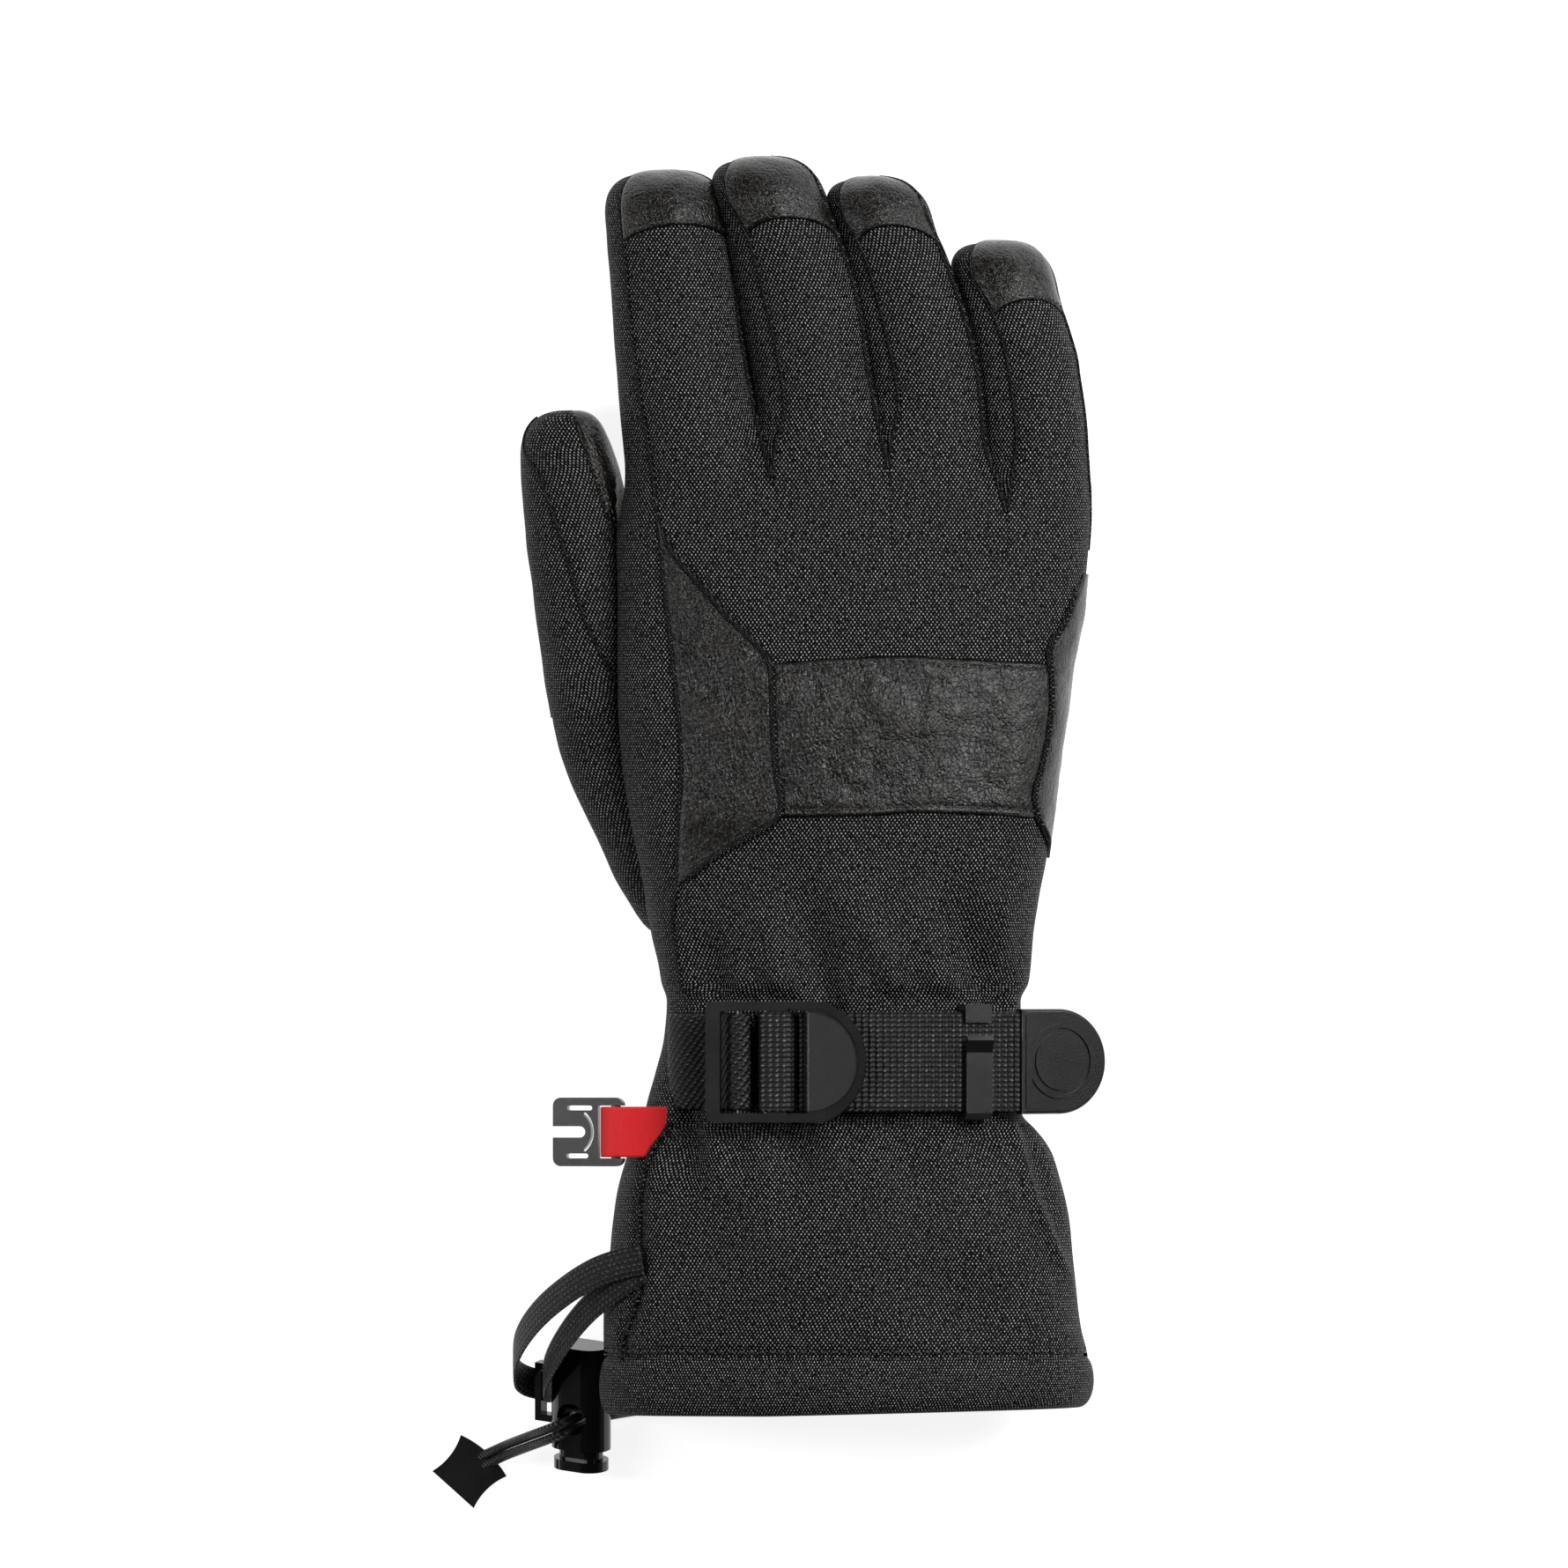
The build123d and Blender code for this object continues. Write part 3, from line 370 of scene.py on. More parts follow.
class Digit:
    """A finger as a tube on a straight axis, with its back panel between two seam lines.

    left and right are the seam lines as (y, x from the axis), crotches the y of the
    crotch on either side, seam_angles the back panel's edges from +z towards +x, cap
    the length of the leather tip and sway how far the tip curls sideways off the axis.
    """

    def __init__(self, name, base, lean, pitch, length, radii, left, right, crotches, seam_angles, cap, sway):
        ahead = cos(radians(pitch))
        self.axis = Vector((-sin(radians(lean)) * ahead, cos(radians(lean)) * ahead, -sin(radians(pitch))))
        self.name, self.base, self.length, self.radii = name, Vector(base), length, radii
        self.seams, self.crotches, self.seam_angles = (left, right), crotches, seam_angles
        self.cap, self.sway = cap, sway

    def middle(self, s):
        """Middle of the tube at s along the axis."""
        return self.base + self.axis * s + Vector((self.sway * clamp(s / self.length) ** 3, 0, 0))

    def reach(self, y):
        return (y - self.base.y) / self.axis.y

    def radius(self, s):
        root, tip = self.radii
        return mix(root, tip, clamp(s / (self.length - tip)))

    def taper(self, s):
        """Shares of the full width and height left near the tip."""
        tip = self.radii[1]
        q = clamp((s - (self.length - tip)) / tip)
        return (1 - q**3.2) ** (1 / 3.2), (1 - q**2.3) ** (1 / 2.3)

    def ring(self, s, angle):
        """Point on the tube at s along the axis, at an angle from +z towards +x."""
        middle = self.middle(s)
        radius = self.radius(s)
        wide, high = self.taper(s)
        turn = radians(angle)
        point = middle + Vector((radius * wide * sin(turn), 0, radius * high * cos(turn)))
        point.z = max(point.z, 0.35 + 0.02 * abs(point.x - middle.x))
        return point

    def seam(self, s, side):
        """Point on the back panel's edge, on the thumb side (0) or the outer side (1)."""
        middle = self.middle(s)
        off = curve_through(self.seams[side], middle.y)
        wide, high = self.taper(s)
        turn = radians(self.seam_angles[side])
        return middle + Vector((off * wide, 0, self.radius(s) * high * cos(turn)))

    def back(self, s, f):
        """Point on the back panel, f from 0 at its left seam to 1 at its right one."""
        a0, a1 = (radians(a) for a in self.seam_angles)
        turn = mix(a0, a1, f)
        left, right = self.seam(s, 0), self.seam(s, 1)
        share = (sin(turn) - sin(a0)) / (sin(a1) - sin(a0))
        middle = self.middle(s)
        high = self.taper(s)[1]
        return Vector((mix(left.x, right.x, share), middle.y, middle.z + self.radius(s) * high * cos(turn)))

    def wall(self, s, side, q):
        """Point on a side wall, from the back panel's seam (q = 0) to the palm's (q = 1)."""
        start = self.seam_angles[side]
        slack = self.seam(s, side) - self.ring(s, start)
        return self.ring(s, mix(start, (-108.0, 112.0)[side], q)) + slack * (1 - q) ** 2

    def palm(self, s, q):
        return self.ring(s, mix(112.0, 252.0, q))


INDEX = Digit(
    "index", (-37.4, 230.3, 21.0), 6.9, 6.2, 82.4, (17.0, 14.4),
    [(226, -10.2), (241, -10.1), (256, -10.9), (277, -11.3), (290, -10.8)],
    [(241, 17.2), (256, 16.5), (270, 15.6), (292, 15.4)],
    (222.0, 235.6), (-44.0, 74.0), 17.0, 0.7,
)
MIDDLE = Digit(
    "middle", (-4.6, 230.3, 21.0), 9.7, 5.9, 86.6, (14.2, 14.0),
    [(241, -9.0), (250, -6.9), (264, -6.0), (278, -6.5), (294, -7.4), (305, -11.0)],
    [(238, 15.4), (251, 15.4), (264, 15.9), (280, 16.2), (294, 14.8), (304, 13.0)],
    (235.6, 237.8), (-32.0, 60.0), 19.0, -2.2,
)
RING = Digit(
    "ring", (22.4, 230.3, 21.0), 10.1, 7.6, 82.0, (12.6, 12.6),
    [(241, -6.4), (251, -4.6), (264, -4.3), (280, -4.9), (291, -6.0), (301, -9.6)],
    [(232, 13.6), (241, 14.4), (256, 15.8), (268, 16.2), (282, 15.0), (292, 13.4), (300, 11.4)],
    (237.8, 226.8), (-30.0, 52.0), 16.0, -1.8,
)
LITTLE = Digit(
    "little", (48.6, 230.3, 21.0), 7.5, 9.5, 65.4, (13.2, 12.8),
    [(236, -4.4), (251, -3.2), (264, -3.0), (276, -4.6), (285, -8.0)],
    [(236, 12.8), (251, 14.0), (264, 14.2), (276, 12.8), (282, 12.0)],
    (226.8, 222.0), (-24.0, 76.0), 18.5, -2.4,
)
FINGERS = [INDEX, MIDDLE, RING, LITTLE]

# Where the backs of the fingers part on the hand, seen from above, at y 216 and at the crotch.
SIDE_SEAM = [(72, -39.5), (108, -40.4), (116, -41.7), (124, -43.2), (132, -42.1), (148, -41.7), (162, -40.8),
             (172, -41.3), (186, -42.8), (203, -44.6), (226, -47.0), (252, -49.5)]
PARTINGS = [
    SIDE_SEAM,
    [(216, -17.2), (236, -18.3), (252, -20.5)],
    [(216, 11.6), (238, 10.8), (252, 8.6)],
    [(216, 40.6), (227, 40.4), (252, 37.6)],
]
FRONT_Y = 217.0          # the hand's cloth is handed on to the fingers' here


OUTER_SIDES = ((0, 0), (3, 1))     # the sides of index and little finger that run on along the hand


def parting_t(index, y):
    """The t of a finger's edge on the back of the hand: 0 is the index finger's left one, 4 the last."""
    return 1.0 if index == 4 else girth_t(y, curve_through(PARTINGS[index], y))


def parted(crotch, y):
    """0 where the fingers are still one with the hand, and 1 where they stand alone."""
    return smooth(crotch - 3, crotch + 19, y)


def finger_back_point(number, f, y, lift=0.0):
    """The back of a finger, from the cloth of the hand at FRONT_Y out to the tip."""
    digit = FINGERS[number]
    s = digit.reach(y)
    crotch = mix(*digit.crotches, f)
    away = parted(crotch, y)
    point = digit.back(s, f)
    if away < 1:
        t = mix(parting_t(number, y), parting_t(number + 1, y), f)
        point = hand_surface(y, t).lerp(point, away)
    puff = 0.8 * sin(pi * clamp(f)) * smooth(crotch, crotch + 25, y) * digit.taper(s)[1]
    puff += 0.30 * ripple(*point, 15.0, 2.0) + 0.12 * ripple(*point, 6.0, 3.0)
    middle = digit.middle(s)
    out = Vector((point.x - middle.x, 0, point.z - middle.z)) if away > 0.5 else Vector((0, 0, 1))
    if out.length > 0.01:
        out.normalize()
    tip = clamp(1 - (digit.length - s) / digit.radii[1])
    out = out * (1 - tip**3.2) ** 0.69 + digit.axis * tip**2.2
    return point + out.normalized() * (puff * away + lift)


# ---- materials


class Graph:
    """A node material, built with short calls."""

    def __init__(self, name):
        self.material = bpy.data.materials.new(name)
        self.material.use_nodes = True
        self.tree = self.material.node_tree
        self.shader = self.tree.nodes["Principled BSDF"]

    def add(self, kind, output=0, settings=None, **inputs):
        """An output of a new node; an input is named, or is i and its number."""
        node = self.tree.nodes.new("ShaderNode" + kind)
        for key, value in (settings or {}).items():
            setattr(node, key, value)
        self.feed(node, inputs)
        return node.outputs[output]

    def feed(self, node, inputs):
        for key, value in inputs.items():
            socket = node.inputs[int(key[1:]) if key[1:].isdigit() else key.replace("_", " ")]
            if isinstance(value, bpy.types.NodeSocket):
                self.tree.links.new(value, socket)
            else:
                socket.default_value = value

    def math(self, operation, a, b=0.0):
        return self.add("Math", 0, {"operation": operation}, i0=a, i1=b)

    def plus(self, a, b):
        return self.math("ADD", a, b)

    def times(self, a, b):
        return self.math("MULTIPLY", a, b)

    def cloth(self):
        """The cloth's own place in millimetres: across, along."""
        across = self.add("SeparateXYZ", i0=self.add("UVMap", 0, {"uv_map": "cloth"}))
        return across, across.node.outputs[1]

    def object_place(self):
        """The place in the object's own space, in millimetres."""
        place = self.add("TexCoord", "Object")
        return self.add("VectorMath", 0, {"operation": "SCALE"}, i0=place, Scale=1000.0)

    def vector(self, x, y):
        return self.add("CombineXYZ", i0=x, i1=y)

    def wave(self, value, pitch):
        """Sine of the value, from 0 to 1, one turn each pitch."""
        turned = self.math("SINE", self.times(value, 2 * pi / pitch))
        return self.plus(self.times(turned, 0.5), 0.5)

    def noise(self, place, scale, detail=3.0, rough=0.55):
        return self.add("TexNoise", Vector=place, Scale=scale, Detail=detail, Roughness=rough)

    def cells(self, place, scale):
        """Distance to the walls between pebbles."""
        return self.add("TexVoronoi", 0, {"feature": "DISTANCE_TO_EDGE"}, Vector=place, Scale=scale)

    def ramp(self, value, low, high):
        return self.add("MapRange", 0, {"interpolation_type": "SMOOTHSTEP"}, Value=value, i1=low, i2=high)

    def scaled(self, vector, factor, shift):
        return self.add("VectorMath", 0, {"operation": "MULTIPLY_ADD"}, i0=vector, i1=factor, i2=shift)

    def blend(self, share, a, b):
        return self.add("Mix", 2, {"data_type": "RGBA"}, i0=share, i6=a, i7=b)

    def bump(self, height, distance, strength=1.0, **under):
        return self.add("Bump", Height=height, Distance=distance, Strength=strength, **under)

    def finish(self, colour, rough, specular=0.5, **others):
        others.update(Base_Color=colour, Roughness=rough, Specular_IOR_Level=specular)
        self.feed(self.shader, others)
        return self.material


def grey(value, warm=0.0):
    return (value * (1 + warm), value, value * (1 - warm), 1.0)


def softshell(name, pitch, dark, light):
    """Charcoal softshell: staggered light picks on a black ground, each of its own brightness."""
    g = Graph(name)
    across, along = g.cloth()
    place = g.vector(across, along)
    wobble = g.times(g.noise(place, 0.3, 2.0), 0.6)
    warp = g.math("SINE", g.times(g.plus(across, wobble), 2 * pi / pitch))
    weft = g.math("SINE", g.times(g.plus(along, wobble), 2 * pi / (1.38 * pitch)))
    dots = g.times(warp, weft)
    heather = g.noise(place, 1.25, 2.0, 0.75)
    cloud = g.noise(place, 0.05, 3.0)
    share = g.times(g.ramp(dots, 0.2, 0.9), g.ramp(heather, 0.33, 0.66))
    share = g.times(share, g.plus(g.times(cloud, 0.5), 0.75))
    cool = (light * 0.82, light * 0.93, light * 0.95, 1)
    warm = (light, light * 0.97, light * 0.86, 1)
    yarn = g.blend(g.noise(place, 0.9, 1.0), cool, warm)
    colour = g.blend(share, (dark, dark * 1.03, dark * 1.05, 1), yarn)
    height = g.plus(g.ramp(dots, -0.3, 0.9), g.times(heather, 0.4))
    return g.finish(colour, 0.6, 0.05, Normal=g.bump(height, 0.00012, 0.8))


def leather(name, grain, rough):
    """Black fine-grained leather with creases, rubbed a little brighter on its high spots."""
    g = Graph(name)
    place = g.vector(*g.cloth())
    bend = g.add("TexNoise", 1, Vector=place, Scale=0.45, Detail=2.0)
    warped = g.scaled(bend, (1.1, 1.1, 1.1), place)
    cells, fine = g.cells(warped, 0.78 / grain), g.cells(warped, 1.7 / grain)
    pebble = g.plus(g.ramp(cells, 0.0, 0.22), g.times(g.ramp(fine, 0.0, 0.2), 0.45))
    crease = g.math("ABSOLUTE", g.math("SUBTRACT", g.noise(place, 0.16, 5.0, 0.6), 0.5))
    height = g.plus(g.times(pebble, 0.5), g.times(g.ramp(crease, 0.0, 0.035), 0.3))
    worn = g.noise(place, 0.09, 4.0)
    rubbed = g.times(g.ramp(pebble, 0.2, 1.4), g.ramp(worn, 0.3, 0.75))
    colour = g.blend(rubbed, grey(0.002, 0.2), grey(0.009, 0.3))
    slack = g.bump(g.noise(place, 0.09, 2.0), 0.0016)
    sheen = g.plus(g.times(worn, 0.16), rough - 0.1)
    return g.finish(colour, sheen, 0.4, Normal=g.bump(height, 0.00015, Normal=slack))


def webbing(name, pitch, slant, light):
    """Woven strap: ribs across it with small light picks between them."""
    g = Graph(name)
    across, along = g.cloth()
    ribs = g.wave(g.plus(along, g.times(across, slant)), pitch)
    picks = g.wave(g.math("SUBTRACT", across, g.times(along, slant * 0.5)), 1.25)
    heather = g.noise(g.vector(across, along), 1.6, 2.0, 0.7)
    share = g.times(g.ramp(g.times(ribs, picks), 0.35, 0.9), g.ramp(heather, 0.40, 0.68))
    colour = g.blend(share, grey(0.003, 0.05), grey(light, 0.05))
    return g.finish(colour, 0.55, 0.3, Normal=g.bump(g.plus(ribs, g.times(picks, 0.5)), 0.00028))


def braid(name, plait, stitch):
    """Flat braid: columns of plump stitches that slant in towards the middle line."""
    g = Graph(name)
    across, along = g.cloth()
    slanted = g.plus(along, g.times(g.math("ABSOLUTE", across), 0.8))
    columns = g.wave(across, plait)
    swells = g.wave(g.plus(slanted, g.times(columns, 0.35)), stitch)
    plump = g.times(g.ramp(columns, 0.05, 0.7), g.ramp(swells, 0.05, 0.7))
    fine = g.noise(g.vector(across, along), 1.8, 2.0)
    share = g.times(g.ramp(plump, 0.55, 1.0), g.ramp(fine, 0.40, 0.66))
    return g.finish(g.blend(share, grey(0.003), grey(0.10)), 0.5, 0.2, Normal=g.bump(plump, 0.0007))


def ribbed_cord(name):
    """Black elastic cord with fine lengthwise ribs and slanting threads."""
    g = Graph(name)
    diagonal = {"bands_direction": "DIAGONAL"}
    threads = g.add("TexWave", 0, diagonal, Vector=g.object_place(), Scale=0.45, Distortion=0.6)
    colour = g.blend(threads, grey(0.003), grey(0.03))
    return g.finish(colour, 0.42, Normal=g.bump(threads, 0.0004, 0.9))


def plastic(name, rough, grain=0.0, value=0.006, plate=None):
    """Moulded black plastic, etched where it is matt: all over, or on a half-round plate (x, y, radius)."""
    g = Graph(name)
    place = g.object_place()
    etch = g.noise(place, 3.2, 2.0, 0.6)
    wear = g.noise(place, 0.12, 4.0)
    roughness = g.plus(g.times(wear, 0.12), rough - 0.06)
    colour = g.blend(wear, grey(value * 0.7), grey(value * 1.4))
    if plate:
        x, y, radius = plate
        off = g.scaled(place, (1, 1, 0), (-x, -y, 0))
        reach = g.add("VectorMath", "Value", {"operation": "LENGTH"}, i0=off)
        field = g.times(g.ramp(reach, radius, radius - 0.5), g.ramp(g.add("SeparateXYZ", i0=off), -0.3, 0.3))
        roughness = g.plus(roughness, g.times(field, 0.12))
        return g.finish(colour, roughness, Normal=g.bump(g.times(etch, field), 0.0002, 0.6))
    return g.finish(colour, roughness, Normal=g.bump(etch, 0.0003, grain))


def satin(name):
    """Red satin ribbon with a paler back: threads across it catch the light."""
    g = Graph(name)
    across, along = g.cloth()
    threads = g.wave(along, 0.42)
    fine = g.noise(g.vector(g.times(across, 0.3), g.times(along, 6.0)), 1.0, 2.0)
    red = g.blend(fine, (0.42, 0.003, 0.006, 1), (0.70, 0.008, 0.014, 1))
    colour = g.blend(g.add("NewGeometry", "Backfacing"), red, (0.75, 0.5, 0.5, 1))
    return g.finish(colour, 0.45, 0.25, Normal=g.bump(threads, 0.0001, 0.6), Sheen_Weight=0.1)


def fleece(name, value):
    """Brushed lining with a short, tufted pile."""
    g = Graph(name)
    place = g.object_place()
    tufts = g.noise(place, 0.7, 4.0, 0.7)
    colour = g.blend(tufts, grey(value * 0.5), grey(value * 2.0))
    return g.finish(colour, 0.95, Normal=g.bump(tufts, 0.001, 0.9), Sheen_Weight=0.6, Sheen_Roughness=0.6)


def thread(name, value, warm=0.0):
    """Sewing thread with its twist."""
    g = Graph(name)
    twist = g.add("TexWave", 0, {"bands_direction": "DIAGONAL"}, Vector=g.object_place(), Scale=1.2)
    colour = g.blend(twist, grey(value * 0.6, warm), grey(value * 1.8, warm))
    return g.finish(colour, 0.5, Normal=g.bump(twist, 0.0001, 0.5))


def brass(name):
    """Drawn brass wire, a little tarnished."""
    g = Graph(name)
    wear = g.noise(g.object_place(), 1.5, 3.0)
    colour = g.blend(wear, (0.55, 0.36, 0.12, 1), (0.85, 0.62, 0.25, 1))
    return g.finish(colour, g.plus(g.times(wear, 0.2), 0.2), Metallic=1.0)


BUCKLE_PLATE = (-9.3 + SHIFT.x, 89.0 + SHIFT.y, 12.6)
SHELL = softshell("softshell", 0.98, 0.0012, 0.44)
PIPING = softshell("piping_cloth", 0.8, 0.002, 0.16)
LEATHER = leather("leather", 1.0, 0.27)
PALM_LEATHER = leather("palm_leather", 1.2, 0.5)
WEB_CLOTH = fleece("web_cloth", 0.008)
WEBBING = webbing("webbing", 1.75, 0.0, 0.16)
ELASTIC = webbing("twill_elastic", 1.8, -0.75, 0.13)
BRAID = braid("braid", 1.27, 1.5)
CORD = ribbed_cord("elastic_cord")
SATIN_PLASTIC = plastic("satin_plastic", 0.2, 0.1, 0.004)
BUCKLE_PLASTIC = plastic("buckle_plastic", 0.27, plate=BUCKLE_PLATE)
GLOSS_PLASTIC = plastic("gloss_plastic", 0.13)
GRIP = plastic("grip_rubber", 0.3, 0.2, 0.003)
RIBBON = satin("ribbon_satin")
FLEECE = fleece("fleece", 0.02)
WADDING = fleece("wadding", 0.03)
THREAD = thread("thread", 0.012)
TAN_THREAD = thread("tan_thread", 0.05, 0.25)
BRASS = brass("brass_wire")


# ---- stitches and piping


def along_line(points, pitch):
    """Places every pitch millimetres along a polyline, each with its direction."""
    out = []
    left = pitch / 2
    for a, b in zip(points, points[1:]):
        run = (b - a).length
        if run < 1e-9:
            continue
        way = (b - a) / run
        while left < run:
            out.append((a + way * left, way))
            left += pitch
        left -= run
    return out


def stitch_row(name, line, body, pitch, length, radius=0.24, material=THREAD):
    """A row of stitches along (point, normal) pairs; each is a short thread that dips into the cloth."""
    verts, faces = [], []
    rings, around = 5, 6
    for place, way in along_line([point for point, normal in line], pitch):
        up = min(line, key=lambda pair: (pair[0] - place).length_squared)[1].normalized()
        side = way.cross(up).normalized()
        faces += tube_faces(rings, around, len(verts))
        for k in range(rings):
            t = k / (rings - 1) - 0.5
            thick = radius * sqrt(max(0.0, 1 - (2 * t) ** 4)) + 0.02
            middle = place + way * (t * length) + up * (radius * 1.1 * (1 - (2 * t) ** 2) - 0.06)
            for m in range(around):
                a = 2 * pi * m / around
                verts.append(middle + side * (thick * cos(a)) + up * (thick * 0.8 * sin(a)))
    new_object(name, mesh_data(name, verts, faces), material, body)


def cloth_piece(name, surface, rows, columns, material, body, replaces, thick=1.2):
    """A panel of cloth or leather with its own thickness."""
    thicken(new_object(name, sheet_mesh(name, surface, rows, columns), material, body, replaces), thick)


def piping(name, points, radius, body):
    """A cord sewn into a seam, as a mesh tube."""
    data = curve_mesh(line_curve(name, points, radius))
    data.polygons.foreach_set("use_smooth", [True] * len(data.polygons))
    layer = data.uv_layers.new(name="cloth") if not data.uv_layers else data.uv_layers[0]
    layer.name = "cloth"
    for loop in data.loops:
        co = data.vertices[loop.vertex_index].co * 1000
        layer.data[loop.index].uv = (co.x + co.z, co.y)
    data.materials.clear()
    new_object(name, data, PIPING, body)


# ---- hand and cuff

HAND_START_Y = 73.2


def make_hand():
    """Back of the hand, the panel beside the index finger's seam and the leather palm."""

    def hand_y(v):
        return mix(HAND_START_Y, FRONT_Y, v)

    def back(u, v):
        y = hand_y(v)
        return hand_surface(y, mix(parting_t(0, y), 1.0, u))

    def side(u, v):
        y = hand_y(v)
        return hand_surface(y, mix(0.0, parting_t(0, y), u), -0.05)

    def palm(u, v):
        return hand_surface(hand_y(v), mix(1.0, 2.0, u), -0.1)

    cloth_piece("hand_back_cloth", back, 190, 120, SHELL, "glove", "hand_back")
    cloth_piece("index_side_cloth", side, 150, 26, SHELL, "glove", "index_side_panel")
    cloth_piece("palm_hide", palm, 120, 90, PALM_LEATHER, "glove", "palm_leather")
    seam = [hand_surface(y, parting_t(0, y), 0.15) for y in span(106, FRONT_Y + 1, 3.0)]
    piping("index_side_seam", seam, 0.55, "glove")


# Edges of the knuckle leather: the wings' as (y, x), the band's as (x, y).
WING_IN = [(132.4, -42.0), (135.5, -38.4), (139.0, -34.2), (143.8, -26.5), (147.6, -19.6), (150.0, -16.6),
           (153.4, -15.9), (161.9, -17.3), (171.6, -17.9), (184.9, -18.3), (189.7, -19.2), (195.5, -24.5),
           (201.2, -30.2), (208.0, -36.0), (214.2, -41.4), (220.4, -45.4), (225.7, -47.0)]
WING_OUT = [(139.6, 51.0), (145.6, 49.4), (150.0, 47.4), (155.1, 46.6), (161.0, 48.0), (171.8, 50.2),
            (182.9, 51.0), (191.7, 50.6), (197.4, 53.6), (202.7, 56.0), (211.3, 59.0)]
BAND_TOP = [(-18.5, 188.6), (-1.0, 189.9), (14.0, 190.4), (32.0, 189.6), (50.5, 188.7)]
BAND_LOW = [(-16.0, 150.0), (3.0, 150.2), (17.0, 151.0), (32.0, 150.7), (46.8, 149.8)]
LEATHER_LIFT = 0.75


def edge_roll(distance, width=1.3):
    """Share of the full lift near a cut edge that is turned under."""
    return sqrt(clamp(1 - (1 - clamp(distance / width)) ** 2))


def creases(x, y, z):
    """How far soft leather puckers."""
    return 0.35 * ripple(x, y, z, 12.0, 4.0) + 0.14 * ripple(x, y, z, 4.5, 5.0)


def top_point(x, y, lift):
    return hand_surface(y, girth_t(y, x), lift)


def top_stitches(name, places, lift):
    """Stitches through (x, y) places on the back of the hand."""
    line = [(top_point(x, y, lift), girth_point(y, girth_t(y, x))[1]) for x, y in places]
    stitch_row(name, line, "glove", 2.1, 1.5)


def make_knuckle_leather():
    """Two wings and a band of leather across the knuckles, with piped and stitched edges."""

    def inner(u, v):
        y = mix(132.6, 225.3, v)
        left, right = curve_through(SIDE_SEAM, y), curve_through(WING_IN, y)
        x = mix(left, right, u)
        edge = min(u, 1 - u) * (right - left)
        lift = LEATHER_LIFT * edge_roll(edge) + creases(x, y, 0) * smooth(0, 5, edge) * 1.5
        return top_point(x, y, lift + 0.05)

    def outer(u, v):
        y = mix(139.9, 211.0, v)
        t = mix(girth_t(y, curve_through(WING_OUT, y)), 1.06, u)
        edge = min(u, 1 - u) * 12
        lift = LEATHER_LIFT * edge_roll(edge) + creases(*hand_surface(y, t)) * smooth(0, 5, edge)
        return hand_surface(y, t, lift + 0.05)

    def band(u, v):
        low = curve_through(BAND_LOW, mix(-16, 46.8, u))
        high = curve_through(BAND_TOP, mix(-18.5, 50.5, u))
        y = mix(low, high, v)
        x = mix(curve_through(WING_IN, y) + 0.6, curve_through(WING_OUT, y) - 0.6, u)
        edge = min(v, 1 - v) * (high - low)
        groove = 0.35 * bump_at(edge, 1.9, 0.6)
        lift = LEATHER_LIFT * 1.2 * edge_roll(edge) - groove + creases(x, y, 3) * smooth(1, 6, edge)
        return top_point(x, y, lift + 0.1)

    for name, surface, rows, columns in (
        ("knuckle_wing_inner", inner, 110, 36),
        ("knuckle_wing_outer", outer, 80, 16),
        ("knuckle_band", band, 70, 100),
    ):
        cloth_piece(f"{name}_hide", surface, rows, columns, LEATHER, "glove", name, 0.9)

    for name, outline, low, high in (("inner", WING_IN, 132.4, 225.5), ("outer", WING_OUT, 139.6, 211.2)):
        line = []
        for y in span(low, high, 2.2):
            sunk = bump_at(y, low, 2.5) + bump_at(y, high, 5.0)
            line.append(top_point(curve_through(outline, y), y, 0.55 - 1.9 * sunk))
        piping(f"wing_{name}_piping", line, 0.95, "glove")
    for name, outline, inset in (("top", BAND_TOP, -1.9), ("low", BAND_LOW, 1.9)):
        places = [(x, curve_through(outline, x) + inset) for x in span(-15.2, 48.6, 1.0)]
        top_stitches(f"band_stitches_{name}", places, 0.72)
    places = [(curve_through(WING_IN, y) - 2.6, y) for y in span(137.0, 221.0, 1.0)]
    top_stitches("wing_stitches", places, 0.85)


CUFF_SEAM = [(13, -55.6), (20, -55.0), (27, -52.7), (36, -51.1), (41, -51.3), (51, -51.0), (63, -48.8),
             (74, -44.0)]
CUFF_FOLD = [(30, 58.2), (34.4, 56.2), (42.8, 52.0), (59.8, 45.2), (72.4, 42.2), (75, 41.6)]
CUFF_START_Y = 13.0
CUFF_END_Y = 74.2
HEM_PROFILE = [(15.2, -1.1), (15.0, 0.1), (13.9, 0.95), (10.8, 1.5), (6.6, 1.5), (3.2, 1.2), (1.2, 0.6),
               (0.35, -0.5), (0.6, -1.7), (2.2, -2.4), (6.0, -2.6), (12.0, -2.6), (16.0, -2.7)]
HEM_OUTER_ROWS = 8       # of the profile's points; the others are inside the mouth
HEM_GROOVE_Y = 15.4
HEM_SLOPE = 2.0          # how much shorter the hem is on the little finger's side


def hem_groove(y):
    return -1.0 * bump_at(y, HEM_GROOVE_Y, 1.8)


